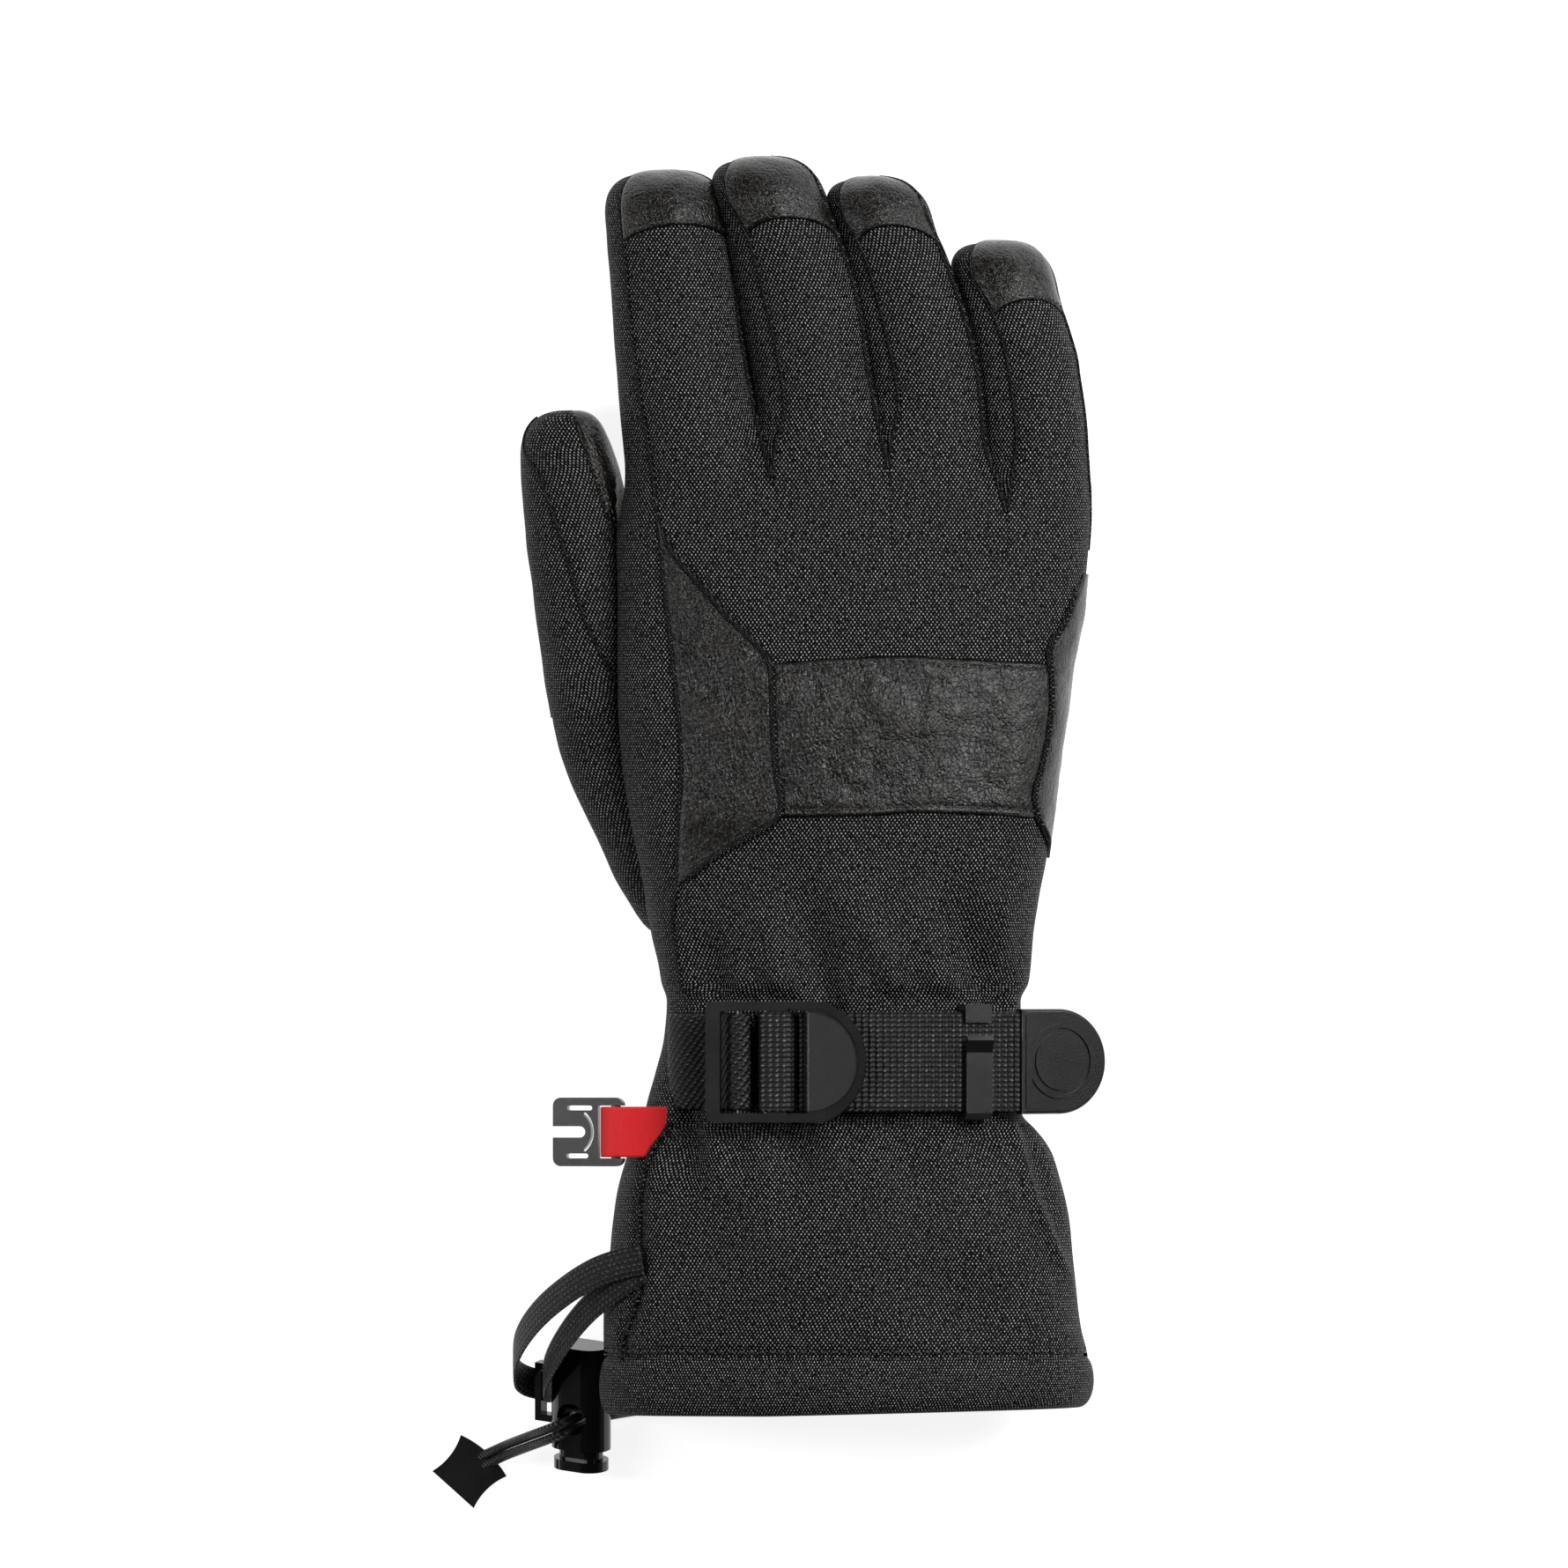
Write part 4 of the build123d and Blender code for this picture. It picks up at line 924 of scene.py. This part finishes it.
def make_cuff():
    """The gauntlet's three panels, with its pressed fold on the little finger's side."""

    def cuff_y(v):
        return mix(CUFF_START_Y, CUFF_END_Y, v)

    def seam_t(y):
        return girth_t(y, curve_through(CUFF_SEAM, y))

    def cloth(y, t):
        """The cuff's upper side, with the dip of its seam, the fold and the hem's groove."""
        x = girth_point(y, t)[0].x
        side = bump_at(x, curve_through(CUFF_SEAM, y), 1.2)
        crease = curve_through(CUFF_FOLD, y)
        fold = (1.5 * bump_at(x, crease, 1.5) - 1.6 * bump_at(x, crease + 4.0, 2.6)) * smooth(26, 40, y)
        fold *= smooth(0.0, 0.08, t) * smooth(1.0, 0.9, t)
        return hand_surface(y, t, -1.2 * side + fold + hem_groove(y))

    def side(u, v):
        y = cuff_y(v)
        return cloth(y, mix(0.0, seam_t(y), u))

    def back(u, v):
        y = cuff_y(v)
        return cloth(y, mix(seam_t(y), 1.0, u))

    def under(u, v):
        return hand_surface(cuff_y(v), mix(1.0, 2.0, u))

    cloth_piece("cuff_side_cloth", side, 64, 16, SHELL, "glove", "cuff_side_panel")
    cloth_piece("cuff_back_cloth", back, 80, 120, SHELL, "glove", "cuff_back")
    cloth_piece("cuff_palm_cloth", under, 60, 90, SHELL, "glove", "cuff_palm")
    seam = [hand_surface(y, seam_t(y), 0.1) for y in span(14, CUFF_END_Y, 3)]
    piping("cuff_side_seam", seam, 0.45, "glove")


def make_hem():
    """The doubled hem: out over the edge and back inside."""
    around = 200
    verts, uvs = [], []
    for row, (y, grow) in enumerate(HEM_PROFILE):
        outside = row < HEM_OUTER_ROWS
        for j in range(around):
            t = 2 * j / around
            point, normal = girth_point(y, t)
            wave = 0.25 * ripple(*point, 18.0, 6.0) + (0.10 * ripple(*point, 5.0, 7.0))
            point = point + normal * (grow + wave * (1 if outside else 0.3))
            point.z = max(point.z, 0.12 if outside else 0.9)
            point.y += HEM_SLOPE * clamp((point.x + 20) / 80) * clamp(1 - y / 12)
            verts.append(point)
            uvs.append((t * 190.0, y if outside else -y))
    data = mesh_data("hem_cloth", verts, grid_faces(len(HEM_PROFILE), around, closed=True), uvs)
    smoother = new_object("hem_cloth", data, SHELL, "glove", "hem_band").modifiers.new("round", "SUBSURF")
    smoother.levels = smoother.render_levels = 2
    line = []
    for t in span(-0.12, 1.12, 0.005):
        point, normal = girth_point(HEM_GROOVE_Y + 1.2, t % 2)
        line.append((point + normal * (loft_height(*point) + hem_groove(point.y) + 0.1), normal))
    stitch_row("hem_stitches", line, "glove", 2.6, 1.9, 0.28)


def make_linings():
    """The plies inside hand and cuff, pressed in wherever the folds go deep."""
    for name, node, material, inset, low, high in (
        ("cuff_fleece", "cuff_lining", FLEECE, 2.9, 4.0, 76.0),
        ("hand_wadding", "hand_insulation", WADDING, 3.2, 72.0, 215.0),
        ("hand_fleece", "hand_lining", FLEECE, 5.2, 74.0, 214.0),
    ):

        def inside(u, v, inset=inset, low=low, high=high):
            y = mix(low, high, v)
            point, normal = girth_point(y, 2 * u, -inset)
            sunk = max(fold_sink(point.x, y, point.z), 0.0)
            return point + normal * (0.3 * ripple(*point, 9.0, 8.0) - sunk)

        thicken(sleeve(name, inside, 30, 72, material, "glove", node, name == "hand_fleece"), 0.8)


# ---- fingers


def finger_wall_point(number, side, q, y):
    """A finger's side wall, from the back panel's seam (q = 0) down to the palm's (q = 1)."""
    digit = FINGERS[number]
    s = digit.reach(y)
    edge = finger_back_point(number, float(side), y, -0.1)
    crotch = digit.crotches[side]
    wall = digit.wall(s, side, q) - digit.seam(s, side)
    if (number, side) in OUTER_SIDES:
        point = edge + wall
        away = parted(crotch, y)
        if away < 1:
            t = mix(parting_t(number + side, y), (-0.05, 1.08)[side], q)
            point = hand_surface(y, t % 2, -0.1).lerp(point, away)
    else:
        point = edge + wall * smooth(crotch - 1.5, crotch + 12, y)
    middle = digit.middle(s)
    out = Vector((point.x - middle.x, 0, point.z - middle.z))
    puff = 0.5 * sin(pi * q) * smooth(crotch + 4, crotch + 20, y) * digit.taper(s)[1]
    return point + out.normalized() * puff if out.length > 0.1 else point


def finger_palm_point(number, q, y):
    """A finger's palm side, q from its outer edge (0) to the one on the thumb side (1)."""
    digit = FINGERS[number]
    point = digit.palm(digit.reach(y), q)
    away = parted(mix(digit.crotches[1], digit.crotches[0], q), y)
    if away >= 1:
        return point
    t_right = 1.08 if number == 3 else 2 - parting_t(number + 1, y)
    t_left = 1.95 if number == 0 else 2 - parting_t(number, y)
    return hand_surface(y, mix(t_right, t_left, q), -0.1).lerp(point, away)


def toward_tip(low, high, ball, v):
    """Row place from low to high, with rows that crowd together on the round tip."""
    if v < 0.6:
        return mix(low, high - ball, v / 0.6)
    return high - ball * (1 - sin(pi / 2 * (v - 0.6) / 0.4))


def cap_edge_y(digit, f):
    """Edge of the leather fingertip cap: it arches towards the tip in the middle."""
    edge = digit.base.y + digit.axis.y * (digit.length - digit.cap)
    return edge + 4.5 * sin(pi * clamp(f)) ** 0.8 - 1.0


def make_finger(number):
    """One finger: four panels of cloth and leather, its cap, its seams and its lining."""
    digit = FINGERS[number]
    name, ball = digit.name, digit.radii[1]
    body = f"{name}_finger"
    bending = ("glove", body, 222.0, 246.0)
    start, high = FRONT_Y - 3, digit.base.y + digit.axis.y * digit.length

    def back(u, v):
        return finger_back_point(number, u, toward_tip(start, high, ball, v), -0.04)

    cloth_piece(f"{name}_back_cloth", back, 90, 34, SHELL, bending, f"{name}_back")

    for side, label, node in ((0, "left", f"{name}_gussets"), (1, "right", None)):
        low = start if (number, side) in OUTER_SIDES else digit.crotches[side] - 1.5

        def wall(u, v, side=side, low=low):
            return finger_wall_point(number, side, u if side else 1 - u, toward_tip(low, high, ball, v))

        cloth_piece(f"{name}_{label}_wall", wall, 80, 16, SHELL, bending, node, 0.9)

    def palm(u, v):
        return finger_palm_point(number, u, toward_tip(start, high, ball, v))

    cloth_piece(f"{name}_palm_hide", palm, 70, 30, PALM_LEATHER, bending, f"{name}_palm")

    def cap(u, v):
        low = cap_edge_y(digit, u)
        y = mix(low, high, sin(pi / 2 * v))
        edge = min((y - low), u * 24, (1 - u) * 24)
        point = finger_back_point(number, u, y, 0.0)
        lift = 0.65 * edge_roll(edge, 1.2) + 0.8 * creases(*point) * smooth(0, 5, edge)
        return finger_back_point(number, u, y, lift + 0.1)

    cloth_piece(f"{name}_cap_hide", cap, 44, 40, LEATHER, body, f"{name}_cap", 0.8)

    line = []
    for f in span(0.03, 0.97, 0.02):
        y = cap_edge_y(digit, f) + 1.3
        point = finger_back_point(number, f, y, 0.72)
        line.append((point, (point - digit.middle(digit.reach(y))).normalized()))
    stitch_row(f"{name}_cap_stitches", line, body, 1.9, 1.35, 0.2)

    for side, label, radius in ((0, "left", 0.5), (1, "right", 0.4 if number == 3 else 0.85)):
        outer = (number, side) in OUTER_SIDES
        low = FRONT_Y if outer else digit.crotches[side] - 0.5
        line = []
        for v in span(0.0, 0.985, 0.02):
            y = toward_tip(low, high, ball, v)
            sunk = 1.2 * bump_at(y, low, 3.0) if outer else 0.0
            line.append(finger_back_point(number, float(side), y, 0.15 - sunk))
        piping(f"{name}_seam_{label}", line, radius, bending)

    def inside(u, v):
        s = mix(1.0, digit.length - 4.2, v)
        middle = digit.middle(s)
        return middle + (digit.ring(min(s, digit.length - 4.3), 360 * u) - middle) * 0.72

    sleeve(f"{name}_fleece", inside, 24, 28, FLEECE, body, f"{name}_lining")


# ---- thumb

THUMB_LEFT = [(112, -46.4), (121, -49.4), (127, -53.4), (134, -57.6), (144, -61.8), (153, -66.2),
              (163, -70.4), (170, -72.6), (184, -75.2), (208, -78.2), (226, -80.4), (238, -81.2),
              (246, -81.4)]
THUMB_R = [(112, 8.0), (121, 9.3), (150, 11.4), (178, 12.9), (240, 12.7)]
THUMB_Z = [(112, 21.0), (121, 20.0), (150, 17.2), (178, 14.9), (252, 13.4)]
THUMB_TIP_Y = 252.2
THUMB_BALL = 15.0


def beside_hand(point, gap):
    """The point, moved out to the thumb side until it clears the hand and the index finger."""
    half_w, half_h, corner, long_r, mid_x, mid_z = girth(min(point.y, 250.0))
    share = clamp(abs(point.z - mid_z) / half_h, 0, 0.999)
    limit = mid_x - half_w * (1 - share**2.7) ** (1 / 2.7) - gap
    return Vector((min(point.x, limit), point.y, point.z))


def thumb_middle(y):
    """The thumb's radius and the middle of its tube at y."""
    radius = curve_through(THUMB_R, y)
    return radius, Vector((curve_through(THUMB_LEFT, y) + radius, y, curve_through(THUMB_Z, y)))


def thumb_point(y, angle, lift=0.0):
    """Point on the thumb at y, at an angle from +z towards +x."""
    radius, middle = thumb_middle(y)
    q = clamp((y - (THUMB_TIP_Y - THUMB_BALL)) / THUMB_BALL)
    wide, high = (1 - q**2.7) ** (1 / 2.7), (1 - q**2.3) ** (1 / 2.3)
    turn = radians(angle)
    out = Vector((sin(turn), 0, cos(turn)))
    inner = 1 - 0.3 * smooth(228, THUMB_TIP_Y, y) if out.x > 0 else 1.0
    point = middle + Vector((radius * wide * out.x * inner, 0, radius * high * out.z))
    puff = 0.45 * ripple(*point, 16.0, 9.0) + 0.15 * ripple(*point, 6.0, 10.0)
    point += out * (puff * wide + lift)
    point.z = max(point.z, 0.4)
    return beside_hand(point, mix(-3.0, 0.7, smooth(146, 178, y)) - lift * 0.5)


# Seams on the thumb, as angles from +z towards +x along y.
THUMB_SIDE_SEAM = [(112, 50), (172, 50), (180, 38), (185, 21), (192, 7), (204, -8), (215, -15), (227, -26),
                   (236, -41), (243, -72), (250, -88)]
THUMB_HIDE_SEAM = [(112, 64), (172, 64), (200, 54), (213, 47), (220, 43), (229, 33), (240, 22), (251, 6)]
THUMB_EDGES = [(112, -118)], THUMB_SIDE_SEAM, THUMB_HIDE_SEAM, [(112, 242)]


def make_thumb():
    """The thumb's three panels round its tube, the root that joins the hand, seams and lining."""
    bending = ("glove", "thumb", 166.0, 190.0)
    for number, (name, material, node) in enumerate((
        ("thumb_side_cloth", SHELL, "thumb_side"),
        ("thumb_back_cloth", SHELL, "thumb_back"),
        ("thumb_palm_hide", LEATHER, "thumb_palm"),
    )):

        def panel(u, v, number=number):
            y = toward_tip(FRONT_Y - 42, THUMB_TIP_Y, THUMB_BALL, 0.985 * v)
            first, last = (curve_through(table, y) for table in THUMB_EDGES[number : number + 2])
            return thumb_point(y, mix(first, last, u), 0.35 * edge_roll(min(u, 1 - u) * 20, 2.0))

        cloth_piece(name, panel, 90, 26, material, bending, node)

    def root(u, v):
        y = mix(113.0, FRONT_Y - 40, v)
        sunk = 1 - smooth(0.0, 0.16, v)
        return thumb_point(y, mix(-200.0, 80.0, u)).lerp(Vector((-38.0, y, 24.0)), sunk)

    cloth_piece("thumb_root_cloth", root, 50, 60, SHELL, bending, "thumb_gusset")

    for name, table, radius in (("side", THUMB_SIDE_SEAM, 0.55), ("hide", THUMB_HIDE_SEAM, 0.5)):
        line = []
        for v in span(0.0, 0.87, 0.02):
            y = toward_tip(178, THUMB_TIP_Y, THUMB_BALL, v)
            line.append(thumb_point(y, curve_through(table, y), 0.2))
        piping(f"thumb_{name}_seam", line, radius, bending)
    line = []
    for y in span(190, THUMB_TIP_Y - 4, 1.0):
        angle = curve_through(THUMB_HIDE_SEAM, y) + 9
        line.append((thumb_point(y, angle, 0.42), Vector((sin(radians(angle)), 0, cos(radians(angle))))))
    stitch_row("thumb_stitches", line, bending, 1.9, 1.3, 0.2, TAN_THREAD)

    def inside(u, v):
        y = mix(181.0, 246.0, v)
        middle = thumb_middle(y)[1]
        return beside_hand(middle + (thumb_point(y, 360 * u) - middle) * 0.7, 4.0)

    sleeve("thumb_fleece", inside, 20, 24, FLEECE, "thumb", "thumb_lining")


# ---- strap

CROWN_R = 88.36          # the strap's layers are arcs round the wrist's long upper arc
CROWN_X, CROWN_Z = -0.35, -35.36
STRAP_MID_Y = 89.0
BUCKLE_X = -14.65
BUCKLE_W = 4.3           # the buckle's underside over the wrist
BUCKLE_ANGLE = asin((BUCKLE_X - CROWN_X) / (CROWN_R + BUCKLE_W))


def crown_point(angle, w):
    """Point w millimetres over the wrist, at an angle round the crown's middle."""
    return Vector((CROWN_X + (CROWN_R + w) * sin(angle), 0, CROWN_Z + (CROWN_R + w) * cos(angle)))


def on_crown(x, w):
    return crown_point(asin((x - CROWN_X) / CROWN_R), w)


def on_buckle(x, w):
    """Place on the buckle: x as if it lay flat, w up from its underside."""
    along = Vector((cos(BUCKLE_ANGLE), 0, -sin(BUCKLE_ANGLE)))
    up = Vector((sin(BUCKLE_ANGLE), 0, cos(BUCKLE_ANGLE)))
    return crown_point(BUCKLE_ANGLE, BUCKLE_W) + along * (x - BUCKLE_X) + up * w


def flat(point):
    return Vector((point.x, 0, point.z))


def smooth_path(points, step):
    """Evenly spaced points on a smooth curve through the given ones."""
    ends = [points[0] * 2 - points[1]] + points + [points[-1] * 2 - points[-2]]
    fine = []
    for a, b, c, d in zip(ends, ends[1:], ends[2:], ends[3:]):
        for k in range(12):
            t = k / 12
            bow = (2 * a - 5 * b + 4 * c - d) * t**2 + (3 * b - a - 3 * c + d) * t**3
            fine.append(0.5 * ((2 * b) + (c - a) * t + bow))
    fine.append(points[-1])
    total = sum((b - a).length for a, b in zip(fine, fine[1:]))
    count = max(2, round(total / step))
    out, run, k = [fine[0]], 0.0, 0
    for i in range(1, count):
        goal = total * i / count
        while run + (fine[k + 1] - fine[k]).length < goal:
            run += (fine[k + 1] - fine[k]).length
            k += 1
        share = (goal - run) / (fine[k + 1] - fine[k]).length
        out.append(fine[k].lerp(fine[k + 1], share))
    out.append(fine[-1])
    return out


def strap(name, path, width, thick, material, body, replaces,
          rib=0.0, rib_pitch=1.75, slant=0.0, middle_y=STRAP_MID_Y, closed=False):
    """Flat strap along a path in x and z, with rounded selvedges and, where rib is set, woven ribs."""
    places = smooth_path(path, 0.3 if rib else 0.7)
    if closed:
        places.pop()
    count, columns, half = len(places), 40, width / 2
    verts, uvs = [], []
    run = 0.0
    for i, place in enumerate(places):
        if i:
            run += (place - places[i - 1]).length
        if closed:
            way = places[(i + 1) % count] - places[i - 1]
        else:
            way = places[min(i + 1, count - 1)] - places[max(i - 1, 0)]
        way.normalize()
        up = Vector((-way.z, 0, way.x))
        for face in (1, -1):
            for j in range(columns):
                across = mix(half, -half, j / (columns - 1)) * face
                edge = clamp((half - abs(across)) / (thick * 0.8))
                round_off = sqrt(clamp(1 - (1 - edge) ** 2))
                height = thick / 2 * (0.25 + 0.75 * round_off)
                if rib:
                    phase = 2 * pi * (run + across * slant) / rib_pitch
                    height += rib * (abs(sin(phase / 2)) - 0.5) * round_off
                verts.append(place + up * (height * face) + Vector((0, middle_y + across, 0)))
                uvs.append((across, run))
    ring = 2 * columns
    last = (count - 1) * ring
    if closed:
        faces = grid_faces(count, ring, closed=True)
        faces += [(last + j, last + (j + 1) % ring, (j + 1) % ring, j) for j in range(ring)]
    else:
        faces = tube_faces(count, ring)
    new_object(name, mesh_data(name, verts, faces, uvs), material, body, replaces)


def make_strap():
    """Elastic, fixed webbing, loose tail and the webbing round the buckle's middle bar."""
    # the elastic goes up the index side of the wrist, out to the buckle, round its bar and back
    wrist = [(-46.6, -2.6), (-45.2, -1.0), (-43.2, 0.7), (-40.0, 1.25)]
    bar_x = -26.4
    bar = [(-2.1, 1.2), (-1.4, 3.0), (0.3, 3.6), (1.8, 2.6), (1.9, 0.8), (0.4, -0.55), (-1.6, -0.8)]
    path = [flat(top_point(x, STRAP_MID_Y, lift)) for x, lift in wrist]
    path += [on_crown(-34.5, 0.8), on_crown(-31.8, 1.8)]
    path += [on_buckle(bar_x + x, w) for x, w in bar] + [on_crown(-33.2, 2.1)]
    strap("elastic_band", path, 24.0, 1.1, ELASTIC, "glove", "elastic_strap", 0.28, 1.8, -0.75)

    fixed = []
    for t in (0.965, 0.93, 0.89, 0.85, 0.81, 0.78):
        point, normal = girth_point(STRAP_MID_Y, t)
        fixed.append(flat(point) + flat(normal) * 2.1)
    fixed += [on_crown(x, 2.05) for x in (28, 22, 16, 10, 4, -2, -8, -14, -19, -22)]
    strap("fixed_webbing", fixed, 25.0, 1.0, WEBBING, "glove", "wrist_webbing", 0.2)

    tail = [on_crown(x, 3.45) for x in (-11.3, -8, -3, 3, 9, 15, 21, 27, 33, 38, 43)]
    strap("tail_webbing", tail, 25.0, 1.0, WEBBING, "tail", "strap_tail", 0.22)

    middle_bar_x = -17.4
    wrap = []
    for turn in (radians(a) for a in range(0, 360, 20)):
        off, rise = 3.7 * signed_power(cos(turn), 0.5), 1.55 * signed_power(sin(turn), 0.6)
        wrap.append(on_buckle(middle_bar_x + off, 1.5 + rise))
    wrap.append(wrap[0])
    strap("buckle_wrap", wrap, 25.0, 0.95, WEBBING, "buckle_swing", "webbing_wrap", 0.2, closed=True)


def make_hardware():
    """Packed parts that keep their shape get rounded edges and their own materials."""
    for name, material, bevel, segments in (
        ("buckle", BUCKLE_PLASTIC, 0.75, 4),
        ("strap_keeper", SATIN_PLASTIC, 0.25, 3),
        ("strap_end_tab", GRIP, 0.3, 3),
        ("glove_clip", SATIN_PLASTIC, 0.35, 3),
        ("lock_body", GLOSS_PLASTIC, 0.4, 3),
        ("lock_button", GLOSS_PLASTIC, 0.4, 3),
        ("pull_tab", GRIP, 0.3, 3),
        ("finger_web", WEB_CLOTH, 0.0, 0),
    ):
        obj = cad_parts[name]
        obj.data.materials.clear()
        obj.data.materials.append(material)
        if bevel:
            rounding = obj.modifiers.new("rounding", "BEVEL")
            rounding.width = bevel / 1000
            rounding.segments = segments
            rounding.limit_method = "ANGLE"
            rounding.angle_limit = radians(35)
            rounding.harden_normals = False


LOCK_RISE = radians(14)
LOCK_UP = Vector((0, cos(LOCK_RISE), sin(LOCK_RISE)))     # from the button to the lock's far end


def make_spring():
    """The cord lock's spring, which shortens as the button is pressed, made here in brass on a mesh of its
    own.
    """
    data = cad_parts["lock_spring"].data.copy()
    data.materials.clear()
    spring = new_object("coil_spring", data, BRASS, "glove", "lock_spring")
    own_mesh(spring)


# ---- ribbon, tape and cords

RIBBON_MID_Y = 71.4


def make_ribbon():
    """Ribbon out of the cuff's seam, round the hook's bar and back in."""
    bar = Vector((-57.4, 0, 44.6))
    seam = flat(top_point(-43.5, RIBBON_MID_Y, -3.6))
    lip = flat(top_point(-47.6, RIBBON_MID_Y, 1.0))
    rise = (lip - bar).normalized()
    up = Vector((-rise.z, 0, rise.x))
    round_bar = [(3, 2.1), (0, 2.0), (-2, 1.8), (-3.5, 0.8), (-3.5, -0.8), (-2, -1.7), (0, -1.9), (4, -1.6)]
    path = [seam + up * 0.4, lip + up * 1.3]
    path += [bar + rise * along + up * off for along, off in round_bar]
    path += [lip - up * 0.4, seam - up * 0.5]
    strap("ribbon_loop", path, 12.6, 0.45, RIBBON, "glove", "clip_ribbon", middle_y=RIBBON_MID_Y)


TAPE_ROUTE = [
    (-50.8, 39.6, 51.0), (-58.8, 38.2, 48.6), (-68.0, 33.4, 41.0), (-77.2, 25.8, 29.5), (-82.8, 17.4, 17.5),
    (-83.0, 10.6, 8.6), (-80.4, 8.4, 3.8), (-76.2, 7.4, 2.4), (-73.0, 6.9, 5.2), (-75.8, 6.9, 12.4),
    (-74.8, 12.4, 20.8), (-68.6, 22.6, 33.0), (-60.0, 31.6, 44.6), (-50.8, 37.2, 49.7),
]
CORD_ROUTE = [
    (-51.0, 2.6, 12.0), (-55.4, 1.8, 5.4), (-58.6, 1.2, 2.3), (-61.7, 0.57, 2.84), (-70.0, -2.9, 16.75),
    (-73.8, -4.4, 18.6), (-78.6, -6.2, 16.6), (-83.2, -8.0, 10.6), (-86.6, -9.5, 4.6), (-91.6, -11.9, 1.6),
]
CORD_SPREAD = 1.35
CORD_R = 1.2


def make_cords():
    """The drawcord's two legs, from the hem through the lock to the pull tab."""
    for number, side in ((1, 1), (2, -1)):
        route = [Vector(p) + LOCK_UP * (side * CORD_SPREAD) for p in CORD_ROUTE]
        name = f"drawcord_{number}"
        node = "drawcord_tails" if number == 1 else None
        obj = new_object(name, line_curve(name, route, CORD_R), CORD, "glove", node)


def make_tape():
    """Flat braid sewn into the cuff's seam: its width lies along the glove, as the lock's bar does."""
    line = curve_mesh(line_curve("tape_line", TAPE_ROUTE))
    places = [v.co * 1000 - SHIFT for v in line.vertices]
    bpy.data.meshes.remove(line)
    around, half, thick = 24, 3.8, 1.1
    verts, uvs = [], []
    run = 0.0
    for before, place, after in zip(places[:1] + places, places, places[1:] + places[-1:]):
        way = (after - before).normalized()
        wide = Vector((0, 1, 0))
        wide = (wide - way * wide.dot(way)).normalized()
        up = way.cross(wide)
        run += (place - before).length
        for j in range(around):
            turn = 2 * pi * j / around
            across = half * cos(turn)
            verts.append(place + wide * across + up * (thick / 2 * signed_power(sin(turn), 0.6)))
            uvs.append((across, run))
    data = mesh_data("anchor_braid", verts, tube_faces(len(places), around), uvs)
    obj = new_object("anchor_braid", data, BRAID, "glove", "anchor_tape")


# ---- studio

PHOTO_MIDDLE = (-15.4, 158.4)    # middle of the picture on the glove
PHOTO_SPAN = 392.7               # millimetres across the picture, at the height of the fingers
PHOTO_HEIGHT = 30
LENS, SENSOR = 800, 36


def area_light(name, place, aim, size, power):
    """Rectangular lamp: place and aim in glove millimetres, size in metres, power in watts."""
    data = bpy.data.lights.new(name, "AREA")
    data.shape = "RECTANGLE"
    data.size, data.size_y = size
    data.energy = power
    obj = bpy.data.objects.new(name, data)
    obj.location = metres(place)
    way = metres(aim) - obj.location
    obj.rotation_euler = way.to_track_quat("-Z", "Y").to_euler()
    bpy.context.scene.collection.objects.link(obj)


def make_studio():
    """Pale floor, soft light and the photo's long-lens view from straight above."""
    scene = bpy.context.scene
    floor_data = bpy.data.meshes.new("floor")
    half = 3.0               # metres
    corners = [(-half, -half, 0), (half, -half, 0), (half, half, 0), (-half, half, 0)]
    floor_data.from_pydata(corners, [], [(0, 1, 2, 3)])
    # the floor looks white to the eye and in reflections, and lights the glove no more than a grey one would
    g = Graph("floor")
    rays = g.add("LightPath").node.outputs
    seen = g.math("MAXIMUM", rays["Is Camera Ray"], rays["Is Glossy Ray"])
    seen = g.math("MAXIMUM", seen, rays["Is Transmission Ray"])
    white = (1, 1, 1, 1)
    look = g.finish(grey(0.5), 0.9, 0.1, Emission_Color=white, Emission_Strength=g.times(seen, 0.88))
    floor_data.materials.append(look)
    floor = bpy.data.objects.new("floor", floor_data)
    scene.collection.objects.link(floor)

    # a tent of light: bright round the horizon and dark overhead, so that tops stay deep and edges shine
    world = bpy.data.worlds.new("studio")
    world.use_nodes = True
    tree = world.node_tree
    way = tree.nodes.new("ShaderNodeTexCoord").outputs["Generated"]
    split = tree.nodes.new("ShaderNodeSeparateXYZ")
    tree.links.new(way, split.inputs[0])
    rise = tree.nodes.new("ShaderNodeMapRange")
    rise.interpolation_type = "SMOOTHSTEP"
    for socket, value in (("From Min", 0.22), ("From Max", 0.6), ("To Min", 0.18), ("To Max", 0.012)):
        rise.inputs[socket].default_value = value
    tree.links.new(split.outputs[2], rise.inputs["Value"])
    tree.links.new(rise.outputs[0], tree.nodes["Background"].inputs["Strength"])
    tree.nodes["Background"].inputs["Color"].default_value = white
    scene.world = world

    area_light("key", (640, 620, 920), (0, 150, 30), (0.9, 0.8), 19.5)
    area_light("left_strip", (-900, 160, 750), (0, 140, 45), (0.2, 1.0), 6.0)

    camera_data = bpy.data.cameras.new("camera")
    camera_data.lens = LENS
    camera_data.sensor_width = SENSOR
    camera = bpy.data.objects.new("camera", camera_data)
    camera.location = metres((*PHOTO_MIDDLE, PHOTO_SPAN * LENS / SENSOR + PHOTO_HEIGHT))
    camera.rotation_euler = (0, 0, 0)
    scene.collection.objects.link(camera)
    scene.camera = camera
    camera_data.clip_end = 20
    scene.view_settings.view_transform = "Standard"


make_hand()
make_knuckle_leather()
make_cuff()
make_hem()
make_linings()
for number in range(4):
    make_finger(number)
make_thumb()
make_strap()
make_hardware()
make_spring()
make_ribbon()
make_cords()
make_tape()
make_studio()
